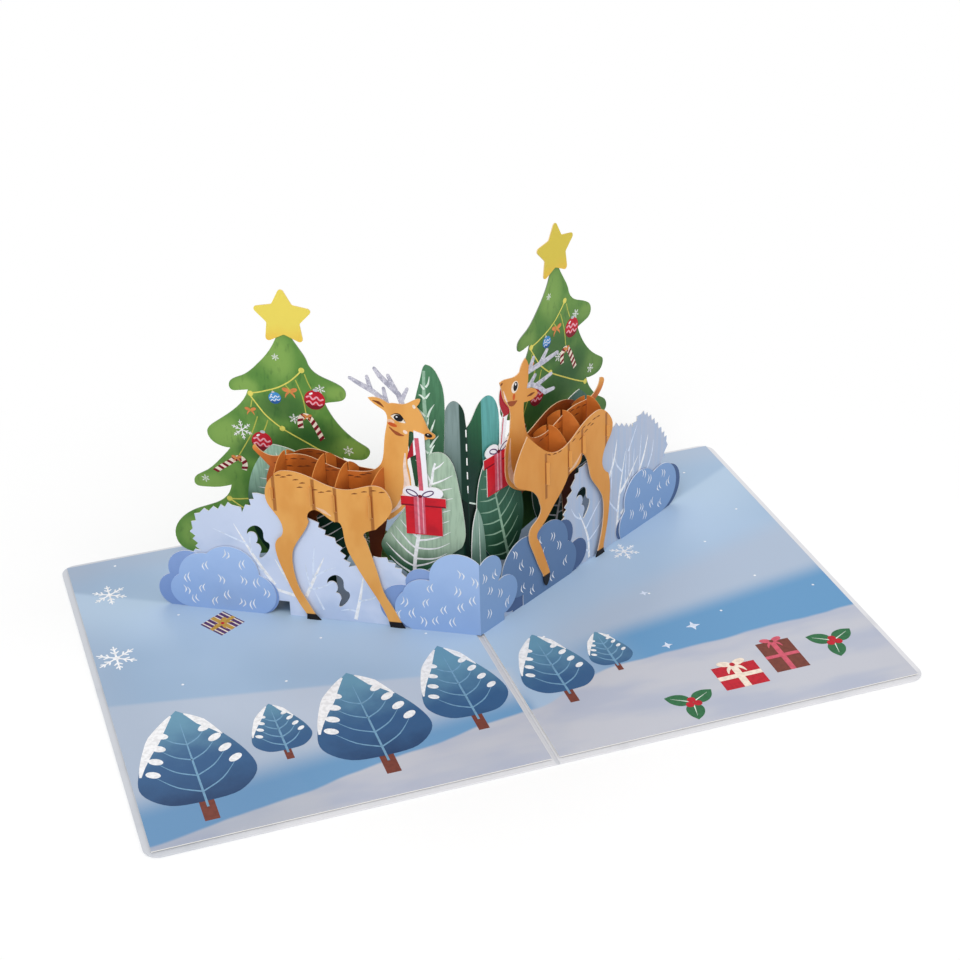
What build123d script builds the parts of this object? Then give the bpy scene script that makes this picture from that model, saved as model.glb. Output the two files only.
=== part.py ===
from build123d import *
import os
from math import cos, hypot, pi, radians, sin

# Pop up card, open flat on a table, in millimetres.
# The origin is the middle of the cover's underside, with +X to the right, +Y to the back and +Z up.

# Card and pages
card_width = 150.0
card_depth = 200.0
card_corner = 6.0
cover_thickness = 0.6
crease_width = 1.2
crease_groove = 0.25
page_thickness = 0.4
page_margin = 2.5
spine_gap = 3.0

# Upright sheets: two families of parallel sheets, turned back from the card's width
sheet = 0.4
fold_turn = 31.0
crease_setback = 88.0

# Largest gap between a drawn curve and the short straight cuts that follow it
cut_tolerance = 0.06
cut_run_share = 0.25

# Tabs pass through slits and their feet lie between page and cover
tab_length = 6.0
foot_reach = 3.0
slit_clearance = 0.1

# Steps back from the fold wall's face to each group of layers, square to the sheets
middle_step = 6.0
far_step = 5.5
side_leaf_step = 4.5
tree_step = 8.0

# Frost leaf wall
wall_reach = 125.0
tooth = 4.0
tooth_crest_share = 0.68
tooth_depth_share = 0.42
curl_height = 15.0

# Clouds: width of each, and how far its middle stands from the fold's crease
centre_cloud_width = 62.0
left_cloud_width = 52.0
left_cloud_place = 108.0
inner_cloud_width = 48.0
cloud_gap = 2.1
right_cloud_width = 44.0
right_cloud_place = 113.0

# Leaves
fold_leaf_height = 98.0
perforation_length = 3.2
perforation_width = 0.6
stem_width = 3.0
tall_leaf_height = 114.0
pale_leaf_height = 77.0
broad_leaf_stem = 19.0
broad_leaf_lean = 12.4
dark_leaf_length = 54.0
dark_leaf_width = 27.0
leaf_clearance = 1.4
small_leaf_length = 42.0
small_leaf_width = 8.6
small_leaf_place = 4.7
small_leaf_stem = 9.7
small_leaf_lean = -0.6
side_leaf_length = 63.0
side_leaf_width = 43.0
side_leaf_place = 58.0
side_leaf_stem = 9.0
side_stem_width = 9.0
side_leaf_lean = 16.5

# Trees and stars
tree_spread = 100.0
tree_place = 65.5
right_tree_rise_share = 1.08
star_radius = 13.4
star_waist = 7.0
star_round = 1.3
star_points = 5
star_place_share = 1.212

# Deer: every outline follows the height of the ears' tips
deer_height = 100.0
antler_width = 2.0
antler_tip_share = 0.65
rib_overhang = 1.2
rib_clearance = 0.1

# Gift boxes that hang on their ribbons
gift_width = 14.6
gift_height = 12.8
lid_width = 18.0
lid_height = 4.2
bow_radius = 2.6
bow_place_shares = (1.6, 0.8)
bow_width_share = 1.5

# Worked out sizes
cover_top = cover_thickness
page_under = cover_top + sheet
page_top = page_under + page_thickness
crease_y = crease_setback - card_depth / 2
turn_cos = cos(radians(fold_turn))
turn_sin = sin(radians(fold_turn))
cross_turn = radians(2 * fold_turn)
middle_depth = middle_step
far_depth = middle_depth + far_step
side_leaf_depth = far_depth + side_leaf_step
tree_depth = side_leaf_depth + tree_step
near_depth = -4 * sheet
centre_cloud_depth = -3 * sheet
cloud_depth = -2 * sheet
cloud_back_depth = -sheet
head_back_depth = middle_depth + sheet
broad_leaf_depth = middle_depth + 2 * sheet
tall_leaf_depth = middle_depth + 3 * sheet
fold_leaf_depth = middle_depth + 4 * sheet
gift_front_depth = middle_depth - sheet
star_depth = tree_depth - sheet
left, right = -1, 1

# Where each rooted sheet has its tabs: side, depth, place along the sheet, way of the foot
# A foot points back with +1 and forward with -1
tab_rows = {
    "front_wall": (
        (left, 0, -0.12 * wall_reach, 1),
        (left, 0, -0.48 * wall_reach, 1),
        (left, 0, -0.86 * wall_reach, 1),
        (right, 0, 0.12 * wall_reach, 1),
        (right, 0, 0.48 * wall_reach, 1),
        (right, 0, 0.86 * wall_reach, 1),
    ),
    "leaf_fold": (
        (left, fold_leaf_depth, -0.07 * fold_leaf_height, 1),
        (right, fold_leaf_depth, 0.11 * fold_leaf_height, 1),
    ),
    "deer_left_near": (
        (left, near_depth, -0.69 * deer_height, -1),
        (left, near_depth, -0.342 * deer_height, -1),
    ),
    "deer_right_near": ((right, near_depth, 0.778 * deer_height, -1),),
    "deer_left_far": (
        (left, far_depth, -0.635 * deer_height, 1),
        (left, far_depth, -0.38 * deer_height, 1),
    ),
    "deer_right_far": (
        (right, far_depth, 0.635 * deer_height, 1),
        (right, far_depth, 0.285 * deer_height, 1),
    ),
    "side_leaf_left": ((left, side_leaf_depth, -side_leaf_place, 1),),
    "side_leaf_right": ((right, side_leaf_depth, side_leaf_place, 1),),
    "tree_left": ((left, tree_depth, -tree_place, 1),),
    "tree_right": ((right, tree_depth, tree_place, 1),),
}
deer_tab_share = 0.6

# Outlines, in shares of the size named beside each: first across, towards the right, then up.
# Each row is a smooth stretch that ends where the next row starts.

# Near profile of the left deer, shares of deer_height
left_near_shares = (
    ((-0.815, 0.65), (-0.79, 0.675), (-0.75, 0.682), (-0.66, 0.66), (-0.57, 0.623), (-0.50, 0.621),
     (-0.42, 0.645), (-0.38, 0.642), (-0.345, 0.60), (-0.338, 0.555), (-0.36, 0.505), (-0.41, 0.45)),
    ((-0.41, 0.45), (-0.44, 0.44), (-0.458, 0.427)),
    ((-0.452, 0.40), (-0.43, 0.32), (-0.408, 0.23), (-0.385, 0.145), (-0.35, 0.08), (-0.33, 0.035)),
    ((-0.31, 0.0),),
    ((-0.372, 0.0),),
    ((-0.378, 0.03), (-0.42, 0.13), (-0.47, 0.22), (-0.51, 0.30), (-0.54, 0.40), (-0.563, 0.47)),
    ((-0.575, 0.468), (-0.61, 0.492), (-0.66, 0.515), (-0.675, 0.505)),
    ((-0.68, 0.46), (-0.72, 0.385), (-0.755, 0.32), (-0.76, 0.24), (-0.74, 0.14), (-0.70, 0.06)),
    ((-0.682, 0.025),),
    ((-0.66, 0.0),),
    ((-0.72, 0.0),),
    ((-0.718, 0.022), (-0.76, 0.10), (-0.80, 0.21), (-0.827, 0.31), (-0.825, 0.35)),
    ((-0.80, 0.38), (-0.79, 0.42), (-0.81, 0.475), (-0.845, 0.53), (-0.85, 0.585)),
)

# Near profile of the right deer, whose front leg is lifted, shares of deer_height
right_near_shares = (
    ((0.308, 0.765), (0.36, 0.71), (0.42, 0.655), (0.48, 0.622), (0.56, 0.625), (0.64, 0.665),
     (0.71, 0.69), (0.78, 0.69), (0.83, 0.65), (0.858, 0.595), (0.852, 0.56)),
    ((0.835, 0.535), (0.80, 0.49), (0.79, 0.43), (0.80, 0.405)),
    ((0.83, 0.375), (0.842, 0.32), (0.84, 0.24), (0.827, 0.14), (0.808, 0.07), (0.80, 0.03)),
    ((0.808, 0.0),),
    ((0.748, 0.0),),
    ((0.762, 0.03), (0.785, 0.10), (0.80, 0.19), (0.79, 0.28), (0.755, 0.34), (0.71, 0.41), (0.675, 0.52)),
    ((0.655, 0.54), (0.62, 0.495), (0.57, 0.482)),
    ((0.55, 0.46), (0.51, 0.42), (0.46, 0.38), (0.40, 0.33), (0.362, 0.305)),
    ((0.372, 0.26), (0.40, 0.19), (0.425, 0.12), (0.437, 0.085)),
    ((0.437, 0.065), (0.413, 0.03)),
    ((0.40, 0.05),),
    ((0.395, 0.09), (0.365, 0.15), (0.33, 0.235), (0.31, 0.29), (0.31, 0.325)),
    ((0.335, 0.355), (0.387, 0.405)),
    ((0.38, 0.43), (0.355, 0.485), (0.328, 0.512), (0.30, 0.53)),
)

# Middle profile of the left deer, with head, neck and tail, shares of deer_height
left_middle_shares = (
    ((-0.855, 0.746), (-0.83, 0.716), (-0.79, 0.70), (-0.74, 0.708), (-0.69, 0.717), (-0.64, 0.712),
     (-0.58, 0.688), (-0.51, 0.664), (-0.44, 0.662), (-0.38, 0.674), (-0.352, 0.70), (-0.334, 0.77),
     (-0.323, 0.85), (-0.322, 0.935)),
    ((-0.336, 0.946), (-0.365, 0.966)),
    ((-0.386, 0.988), (-0.36, 0.992), (-0.33, 0.984)),
    ((-0.306, 0.969), (-0.28, 0.972), (-0.25, 0.97), (-0.225, 0.98)),
    ((-0.205, 0.992), (-0.181, 0.996)),
    ((-0.186, 0.978),),
    ((-0.196, 0.964), (-0.178, 0.934), (-0.163, 0.895), (-0.15, 0.866)),
    ((-0.134, 0.853), (-0.127, 0.841), (-0.138, 0.831), (-0.15, 0.83)),
    ((-0.156, 0.832), (-0.20, 0.843), (-0.226, 0.857)),
    ((-0.232, 0.84), (-0.234, 0.79), (-0.245, 0.745), (-0.239, 0.69), (-0.232, 0.62), (-0.24, 0.565),
     (-0.27, 0.51), (-0.31, 0.468), (-0.36, 0.442), (-0.43, 0.454), (-0.52, 0.476), (-0.62, 0.49),
     (-0.71, 0.50), (-0.78, 0.52), (-0.818, 0.56), (-0.816, 0.615)),
    ((-0.802, 0.652), (-0.83, 0.684)),
    ((-0.864, 0.722), (-0.866, 0.735)),
)

# Middle profile of the right deer, whose head is lifted, shares of deer_height
right_middle_shares = (
    ((0.826, 0.775), (0.806, 0.735), (0.77, 0.714), (0.72, 0.712), (0.65, 0.716), (0.57, 0.70),
     (0.50, 0.676), (0.44, 0.67), (0.39, 0.682), (0.354, 0.715), (0.338, 0.77), (0.333, 0.82)),
    ((0.336, 0.862), (0.37, 0.855), (0.40, 0.856)),
    ((0.423, 0.869), (0.405, 0.894), (0.375, 0.909)),
    ((0.354, 0.915), (0.364, 0.945)),
    ((0.366, 0.98), (0.367, 1.015)),
    ((0.35, 1.048), (0.328, 1.03)),
    ((0.314, 1.002), (0.28, 0.994), (0.24, 1.002)),
    ((0.193, 1.003),),
    ((0.206, 0.965), (0.212, 0.93), (0.228, 0.90), (0.248, 0.872), (0.254, 0.835), (0.25, 0.79),
     (0.24, 0.745), (0.222, 0.71), (0.216, 0.65), (0.216, 0.59), (0.227, 0.55), (0.25, 0.518),
     (0.29, 0.488), (0.335, 0.466), (0.42, 0.458), (0.52, 0.476), (0.62, 0.49), (0.71, 0.50),
     (0.78, 0.52), (0.82, 0.56), (0.818, 0.62)),
    ((0.79, 0.69), (0.82, 0.705)),
    ((0.844, 0.73), (0.852, 0.762)),
)

# Far profiles with the two far legs, shares of deer_height
left_far_shares = (
    ((-0.76, 0.58), (-0.745, 0.63), (-0.71, 0.675), (-0.66, 0.705), (-0.61, 0.715), (-0.56, 0.707),
     (-0.51, 0.69), (-0.46, 0.665), (-0.41, 0.65), (-0.35, 0.645), (-0.29, 0.625), (-0.255, 0.58),
     (-0.25, 0.53), (-0.27, 0.475)),
    ((-0.32, 0.42), (-0.34, 0.32), (-0.355, 0.24), (-0.362, 0.14), (-0.36, 0.06)),
    ((-0.352, 0.0),),
    ((-0.408, 0.0),),
    ((-0.402, 0.06), (-0.40, 0.15), (-0.398, 0.24), (-0.397, 0.32), (-0.405, 0.38)),
    ((-0.43, 0.415), (-0.50, 0.43), (-0.57, 0.43), (-0.60, 0.42)),
    ((-0.605, 0.37), (-0.605, 0.30), (-0.615, 0.20), (-0.618, 0.10)),
    ((-0.605, 0.0),),
    ((-0.665, 0.0),),
    ((-0.668, 0.08), (-0.675, 0.18), (-0.68, 0.28), (-0.70, 0.36), (-0.74, 0.44), (-0.765, 0.52)),
)
right_far_shares = (
    ((0.76, 0.58), (0.745, 0.63), (0.71, 0.68), (0.66, 0.712), (0.60, 0.728), (0.54, 0.726),
     (0.48, 0.708), (0.42, 0.682), (0.36, 0.66), (0.30, 0.635), (0.262, 0.59), (0.25, 0.54)),
    ((0.255, 0.44), (0.26, 0.34), (0.265, 0.22), (0.262, 0.10)),
    ((0.255, 0.0),),
    ((0.315, 0.0),),
    ((0.312, 0.10), (0.318, 0.22), (0.325, 0.33), (0.345, 0.41)),
    ((0.41, 0.425), (0.50, 0.43), (0.57, 0.43), (0.60, 0.42)),
    ((0.605, 0.37), (0.605, 0.30), (0.615, 0.20), (0.618, 0.10)),
    ((0.605, 0.0),),
    ((0.665, 0.0),),
    ((0.668, 0.08), (0.675, 0.18), (0.68, 0.28), (0.70, 0.36), (0.74, 0.44), (0.765, 0.52)),
)

# Ribs, from the front one to the rear one, shares of deer_height: place from the crease, then
# foot, slot height and top at the near profile, at the crest and at the far profile, then the tabs' rise
rib_place_shares = (0.425, 0.57, 0.66, 0.82)
rib_rise_shares = (
    (0.475, 0.575, 0.635, 0.69, 0.61),
    (0.505, 0.585, 0.615, 0.70, 0.655),
    (0.525, 0.60, 0.65, 0.73, 0.69),
    (0.535, 0.60, 0.625, 0.73, 0.685),
)
rib_tab_shares = ((0.50, 0.60), (0.515, 0.59), (0.54, 0.62), (0.55, 0.60))

# Antlers: each tine from its root to its tip, shares of deer_height
left_antler_shares = (
    (((-0.293, 0.945), (-0.33, 0.987)), ((-0.33, 0.987), (-0.365, 1.015)),
     ((-0.365, 1.015), (-0.408, 1.039)), ((-0.408, 1.039), (-0.452, 1.065)),
     ((-0.372, 1.02), (-0.384, 1.075)), ((-0.312, 0.965), (-0.321, 1.03))),
    (((-0.245, 0.95), (-0.264, 1.01)), ((-0.264, 1.01), (-0.294, 1.04)),
     ((-0.294, 1.04), (-0.332, 1.08)), ((-0.332, 1.08), (-0.353, 1.112)),
     ((-0.275, 1.025), (-0.301, 1.086)), ((-0.252, 0.985), (-0.229, 1.034))),
)
right_antler_shares = (
    (((0.325, 0.975), (0.39, 0.98)), ((0.39, 0.98), (0.47, 0.985)), ((0.47, 0.985), (0.553, 0.993)),
     ((0.445, 0.985), (0.488, 1.028)), ((0.375, 0.98), (0.405, 1.027))),
    (((0.32, 0.928), (0.388, 0.917)), ((0.388, 0.917), (0.437, 0.885)), ((0.437, 0.885), (0.472, 0.85)),
     ((0.472, 0.85), (0.527, 0.845)), ((0.417, 0.9), (0.512, 0.915)), ((0.378, 0.917), (0.413, 0.948))),
)

# Ribbon that holds each gift at the mouth, shares of deer_height
left_strap_shares = (
    ((-0.214, 0.863),), ((-0.173, 0.849),), ((-0.165, 0.552),), ((-0.203, 0.552),), ((-0.206, 0.76),),
    ((-0.225, 0.75),), ((-0.246, 0.733), (-0.236, 0.775), (-0.214, 0.825)), ((-0.214, 0.825),),
)
right_strap_shares = (
    ((0.202, 0.978), (0.19, 0.93), (0.196, 0.895), (0.212, 0.86)), ((0.212, 0.86),), ((0.178, 0.685),),
    ((0.205, 0.685),), ((0.236, 0.84),), ((0.262, 0.865), (0.245, 0.90), (0.225, 0.935), (0.222, 0.965)),
    ((0.222, 0.965),),
)
# Middle of each gift's lid, where the ribbon ends
left_lid_share = (-0.188, 0.552)
right_lid_share = (0.18, 0.685)

# Saw edge of the frost leaf wall from its outer end to its crease, shares of wall_reach
left_wall_shares = (
    (-0.952, 0.19), (-0.912, 0.216), (-0.932, 0.296), (-0.904, 0.356), (-0.84, 0.376), (-0.792, 0.396),
    (-0.76, 0.372), (-0.728, 0.40), (-0.704, 0.448), (-0.672, 0.424), (-0.64, 0.376), (-0.576, 0.352),
    (-0.532, 0.368), (-0.492, 0.316), (-0.456, 0.288), (-0.436, 0.232), (-0.42, 0.205), (-0.376, 0.20),
    (-0.344, 0.228), (-0.32, 0.25), (-0.288, 0.236), (-0.248, 0.2), (-0.232, 0.16),
)
right_wall_shares = (
    (0.976, 0.20), (0.992, 0.224), (1.004, 0.264), (0.976, 0.308), (0.936, 0.36), (0.896, 0.404),
    (0.856, 0.432), (0.808, 0.40), (0.76, 0.424), (0.704, 0.448), (0.672, 0.424), (0.64, 0.372),
    (0.576, 0.352), (0.536, 0.372), (0.496, 0.344), (0.48, 0.304), (0.456, 0.272), (0.44, 0.224),
    (0.40, 0.176), (0.30, 0.16),
)
wall_end_shares = (0.96, 0.976)
wall_crease_share = 0.15
# Notch in the wall's foot beside the left cloud: its place, length and height
wall_notch_shares = (-0.666, 0.077, 0.052)

# Curl cut through the leaf wall, shares of curl_height, and its places, shares of wall_reach
curl_shares = (
    ((-0.25, 0.70), (-0.16, 0.93), (0.04, 1.0), (0.20, 0.84), (0.20, 0.66)),
    ((0.33, 0.50), (0.30, 0.24), (0.06, 0.0)),
    ((0.11, 0.26), (0.05, 0.42)),
    ((-0.04, 0.45), (0.03, 0.62), (-0.05, 0.78), (-0.16, 0.79)),
)
curl_place_shares = ((left, -0.72, 0.208), (left, -0.465, 0.05), (right, 0.53, 0.175))

# Cloud lobes: place across, height and radius, shares of the cloud's width.
# Below them the cloud is filled up to a share of the lobes' mean height.
cloud_base_share = 0.8
centre_cloud_shares = (
    (-0.4, 0.153, 0.161), (-0.363, 0.234, 0.148), (-0.137, 0.403, 0.189), (0.05, 0.29, 0.14),
    (0.09, 0.414, 0.13), (0.234, 0.19, 0.139),
)
centre_back_shares = (
    (-0.5, 0.165, 0.157), (-0.37, 0.345, 0.108), (-0.2, 0.25, 0.16), (-0.1, 0.35, 0.15), (0.02, 0.3, 0.16),
)
left_cloud_shares = ((-0.25, 0.155, 0.155), (-0.1, 0.28, 0.225), (0.1, 0.35, 0.235), (0.27, 0.17, 0.19))
left_back_shares = ((-0.345, 0.14, 0.155), (-0.23, 0.335, 0.175), (0.1, 0.2, 0.2), (0.305, 0.165, 0.18))
inner_cloud_shares = ((-0.23, 0.385, 0.275), (0.105, 0.385, 0.275), (0.28, 0.16, 0.215))
inner_back_shares = ((-0.37, 0.165, 0.145), (0.2, 0.25, 0.2), (0.29, 0.415, 0.165), (0.5, 0.155, 0.145))
right_cloud_shares = ((-0.265, 0.11, 0.22), (-0.148, 0.365, 0.26), (0.182, 0.27, 0.27))
right_back_shares = ((-0.4, 0.105, 0.135), (0.0, 0.2, 0.2), (0.273, 0.239, 0.25))

# Half of a leaf's edge from its foot to its tip, shares of half its width and of its length
leaf_shares = ((0.0, 0.0), (0.6, 0.12), (0.94, 0.3), (1.0, 0.48), (0.87, 0.68), (0.54, 0.87), (0.0, 1.0))
leaf_middle_share = 0.48

# Tall leaf on its stem, shares of tall_leaf_height
tall_leaf_shares = (
    ((-0.131, 1.0), (-0.110, 0.991), (-0.091, 0.961), (-0.079, 0.929), (-0.073, 0.89), (-0.072, 0.851),
     (-0.074, 0.789), (-0.081, 0.675), (-0.089, 0.526), (-0.095, 0.351)),
    ((-0.096, 0.158),), ((-0.096, 0.0),), ((-0.122, 0.0),),
    ((-0.122, 0.158), (-0.145, 0.263), (-0.175, 0.439), (-0.191, 0.579), (-0.2, 0.658), (-0.203, 0.728),
     (-0.192, 0.798), (-0.172, 0.868), (-0.159, 0.921), (-0.146, 0.969), (-0.14, 0.99)),
)

# Pale leaf on its stem, shares of pale_leaf_height
pale_leaf_shares = (
    ((-0.19, 0.99), (-0.153, 1.0), (-0.13, 0.997), (-0.096, 0.969), (-0.069, 0.905), (-0.057, 0.839),
     (-0.042, 0.735), (-0.029, 0.61), (-0.028, 0.515)),
    ((-0.048, 0.455), (-0.122, 0.396), (-0.208, 0.325), (-0.275, 0.26)),
    ((-0.285, 0.23),), ((-0.285, 0.0),), ((-0.325, 0.0),), ((-0.325, 0.25),),
    ((-0.345, 0.277), (-0.403, 0.325), (-0.452, 0.38), (-0.472, 0.431), (-0.457, 0.48), (-0.42, 0.54),
     (-0.353, 0.636), (-0.29, 0.74), (-0.245, 0.857), (-0.215, 0.948)),
)

# Perforations along the second fold's crease: first one, last one and pitch, shares of fold_leaf_height
perforation_shares = (0.625, 0.875, 0.0625)

# The two wings of the second fold, shares of fold_leaf_height
left_fold_shares = (
    ((0.0, 0.90), (-0.005, 0.96), (-0.022, 1.0), (-0.045, 1.013), (-0.07, 0.995), (-0.088, 0.955)),
    ((-0.105, 0.94),), ((-0.13, 0.935),), ((-0.13, 0.0),), ((0.0, 0.0),),
)
right_fold_shares = (
    ((0.0, 0.90), (0.03, 0.92), (0.065, 0.963), (0.10, 0.986), (0.13, 0.988), (0.165, 0.965),
     (0.19, 0.915), (0.198, 0.84), (0.19, 0.70)),
    ((0.18, 0.50),), ((0.17, 0.0),), ((0.0, 0.0),),
)

# Tree sheet, tier by tier from its tip down the right side and up the left, shares of tree_spread
tree_shares = (
    ((-0.015, 1.175), (0.0, 1.185)),
    ((0.015, 1.175), (0.04, 1.11), (0.075, 1.055)),
    ((0.09, 1.015), (0.14, 0.968), (0.20, 0.942), (0.234, 0.91), (0.23, 0.88), (0.195, 0.863)),
    ((0.146, 0.852), (0.18, 0.785), (0.235, 0.72), (0.29, 0.68), (0.318, 0.656), (0.31, 0.625),
     (0.265, 0.608)),
    ((0.205, 0.615), (0.24, 0.55), (0.295, 0.50), (0.338, 0.466), (0.344, 0.438), (0.315, 0.416)),
    ((0.26, 0.418), (0.31, 0.34), (0.38, 0.28), (0.445, 0.225), (0.455, 0.185), (0.42, 0.16), (0.34, 0.155)),
    ((0.10, 0.14),), ((0.08, 0.0),), ((-0.08, 0.0),), ((-0.10, 0.14),),
    ((-0.34, 0.105), (-0.46, 0.105), (-0.525, 0.13), (-0.545, 0.19), (-0.505, 0.27), (-0.42, 0.325),
     (-0.33, 0.365)),
    ((-0.276, 0.445), (-0.33, 0.43), (-0.39, 0.426), (-0.432, 0.436), (-0.434, 0.458), (-0.385, 0.498),
     (-0.32, 0.555)),
    ((-0.265, 0.618), (-0.305, 0.624), (-0.348, 0.655), (-0.356, 0.69), (-0.32, 0.73), (-0.245, 0.785),
     (-0.195, 0.835)),
    ((-0.167, 0.888), (-0.205, 0.882), (-0.24, 0.886), (-0.244, 0.91), (-0.19, 0.948), (-0.125, 0.998),
     (-0.07, 1.06), (-0.035, 1.12)),
)


def rib_slit(side, index, depth):
    """Where a rib crosses a sheet at some depth: place across the sheet."""
    return side * (rib_place_shares[index] * deer_height - (depth - near_depth) / sin(cross_turn))


def leaf_place(length, width):
    """Distance of a leaf's foot from the crease, so that its outer edge clears the first rib."""
    lean = radians(broad_leaf_lean)
    outer = rib_slit(right, 0, broad_leaf_depth + sheet / 2) - leaf_clearance
    return outer - width / 2 * cos(lean) + leaf_middle_share * length * sin(lean)


def upright(side, depth):
    """Plane of an upright sheet's front face: across to the viewer's right, up, and facing forward."""
    return Plane(
        origin=(0, crease_y + depth / turn_cos, page_top),
        x_dir=(turn_cos, side * turn_sin, 0),
        z_dir=(side * turn_sin, -turn_cos, 0),
    )


def footing(side, depth):
    """Plane on the page's top along the same sheet: across to the right, and back."""
    return Plane(
        origin=(0, crease_y + depth / turn_cos, page_top),
        x_dir=(turn_cos, side * turn_sin, 0),
        z_dir=(0, 0, 1),
    )


def cut_line(rows, size, across=0.0, rise=0.0, tall=1.0):
    """Draw one closed cutting line in the sketch: each row is smooth and the rows meet at corners."""
    places = [[(across + u * size, rise + z * size * tall) for u, z in row] for row in rows]
    with BuildLine() as outline:
        for row, following in zip(places, places[1:] + places[:1]):
            run = row + following[:1] if row[-1] != following[0] else row
            if len(run) == 2:
                Line(*run)
            else:
                Spline(*run)
    make_face(outline.edges())


def cut_points(curve, start=0.0, end=1.0):
    """Points along a curve, so close that the straight cuts between them keep within cut_tolerance of it."""
    middle = (start + end) / 2
    gap = (curve @ middle - (curve @ start + curve @ end) / 2).length
    if end - start <= cut_run_share and gap < cut_tolerance:
        return [curve @ start, curve @ end]
    return cut_points(curve, start, middle) + cut_points(curve, middle, end)[1:]


def straighten(drawing):
    """Replace the curves around a drawing with short straight cuts."""
    with BuildLine() as cuts:
        for edge in drawing.sketch_local.face().outer_wire().edges():
            if edge.geom_type == GeomType.LINE:
                Line(edge @ 0, edge @ 1)
            else:
                Polyline(*cut_points(edge))
    make_face(cuts.edges(), mode=Mode.REPLACE)


def saw_edge(places, way):
    """Points of a leaf's saw edge along the stretches between places."""
    edge = []
    for (u0, z0), (u1, z1) in zip(places, places[1:]):
        span = hypot(u1 - u0, z1 - z0)
        count = max(1, round(span / tooth))
        out = (-(z1 - z0) / span * way, (u1 - u0) / span * way)
        for step in range(count):
            root = step / count
            crest = (step + tooth_crest_share) / count
            edge.append((u0 + (u1 - u0) * root, z0 + (z1 - z0) * root))
            edge.append((
                u0 + (u1 - u0) * crest + out[0] * tooth * tooth_depth_share,
                z0 + (z1 - z0) * crest + out[1] * tooth * tooth_depth_share,
            ))
    edge.append(places[-1])
    return edge


def cloud(lobes, width, across=0.0):
    """Draw a cloud of round lobes that stands on the page."""
    for u, z, radius in lobes:
        with Locations((across + u * width, z * width)):
            Circle(radius * width)
    first, last = lobes[0][0], lobes[-1][0]
    rise = cloud_base_share * sum(z for u, z, radius in lobes) / len(lobes)
    with Locations((across + (first + last) / 2 * width, 0)):
        Rectangle((last - first) * width, rise * width, align=(Align.CENTER, Align.MIN))
    with Locations((across, 0)):
        Rectangle(width, width, align=(Align.CENTER, Align.MAX), mode=Mode.SUBTRACT)


def leaf(across, foot, length, width, lean, stem):
    """Draw a leaf on its stem, leaning by an angle to the right."""
    turn_c, turn_s = cos(radians(lean)), sin(radians(lean))

    def place(u, z):
        return (across + u * turn_c + z * turn_s, foot + z * turn_c - u * turn_s)

    left_edge = [place(-u * width / 2, z * length) for u, z in leaf_shares]
    right_edge = [place(u * width / 2, z * length) for u, z in leaf_shares]
    with BuildLine() as outline:
        Spline(*left_edge)
        Spline(*right_edge)
    make_face(outline.edges())
    with Locations((across, 0)):
        Rectangle(stem, foot + stem_width, align=(Align.CENTER, Align.MIN))


def tine(root, tip, tip_width):
    """Draw one straight run of an antler, rounded at both ends."""
    (u0, z0), (u1, z1) = [(u * deer_height, z * deer_height) for u, z in (root, tip)]
    span = hypot(u1 - u0, z1 - z0)
    out_u, out_z = (z0 - z1) / span / 2, (u1 - u0) / span / 2
    Polygon(
        (u0 + out_u * antler_width, z0 + out_z * antler_width),
        (u0 - out_u * antler_width, z0 - out_z * antler_width),
        (u1 - out_u * tip_width, z1 - out_z * tip_width),
        (u1 + out_u * tip_width, z1 + out_z * tip_width),
        align=None,
    )
    for place, width in (((u0, z0), antler_width), ((u1, z1), tip_width)):
        with Locations(place):
            Circle(width / 2)


def tab_size(name):
    """Length of a sheet's tabs: short ones under the deer's hooves."""
    return tab_length * (deer_tab_share if name.startswith("deer") else 1)


def tabs(name):
    """Add a sheet's tabs, which pass through the page, with their feet folded under it."""
    length = tab_size(name)
    for side, depth, place, way in tab_rows[name]:
        with BuildSketch(upright(side, depth)) as tab:
            with Locations((place, 0)):
                Rectangle(length, page_thickness + sheet, align=(Align.CENTER, Align.MAX))
        extrude(tab.sketch, amount=-sheet)
        with BuildSketch(footing(side, depth).offset(-page_thickness)) as foot:
            with Locations((place, 0 if way > 0 else sheet - foot_reach)):
                Rectangle(length, foot_reach, align=(Align.CENTER, Align.MIN))
        extrude(foot.sketch, amount=-sheet)


def slits(side):
    """Cut the slits for every tab of one page."""
    for name, rows in tab_rows.items():
        length = tab_size(name)
        for tab_side, depth, place, way in rows:
            if tab_side == side:
                with BuildSketch(footing(side, depth)) as slit:
                    with Locations((place, -slit_clearance)):
                        Rectangle(
                            length + 2 * slit_clearance,
                            sheet + 2 * slit_clearance,
                            align=(Align.CENTER, Align.MIN),
                        )
                extrude(slit.sketch, amount=-page_thickness, mode=Mode.SUBTRACT)


def keep(builder, label):
    """Name a finished piece and write it."""
    builder.part.label = label
    export_step(builder.part, f"parts/{label}.step")


os.makedirs("parts", exist_ok=True)

# Cover: one sheet with rounded corners, pressed along the spine
with BuildPart() as cover:
    with BuildSketch():
        RectangleRounded(2 * card_width, card_depth, card_corner)
    extrude(amount=cover_thickness)
    with BuildSketch(Plane.XY.offset(cover_top)):
        Rectangle(crease_width, card_depth)
    extrude(amount=-crease_groove, mode=Mode.SUBTRACT)
keep(cover, "cover")

# Pages: printed sheets with the slits that hold the tabs
for side, word in ((left, "left"), (right, "right")):
    page_width = card_width - page_margin - spine_gap / 2
    with BuildPart() as page:
        with BuildSketch(Plane.XY.offset(page_under)):
            with Locations((side * (spine_gap / 2 + page_width / 2), 0)):
                Rectangle(page_width, card_depth - 2 * page_margin)
        extrude(amount=page_thickness)
        slits(side)
    keep(page, f"page_{word}")

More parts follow.
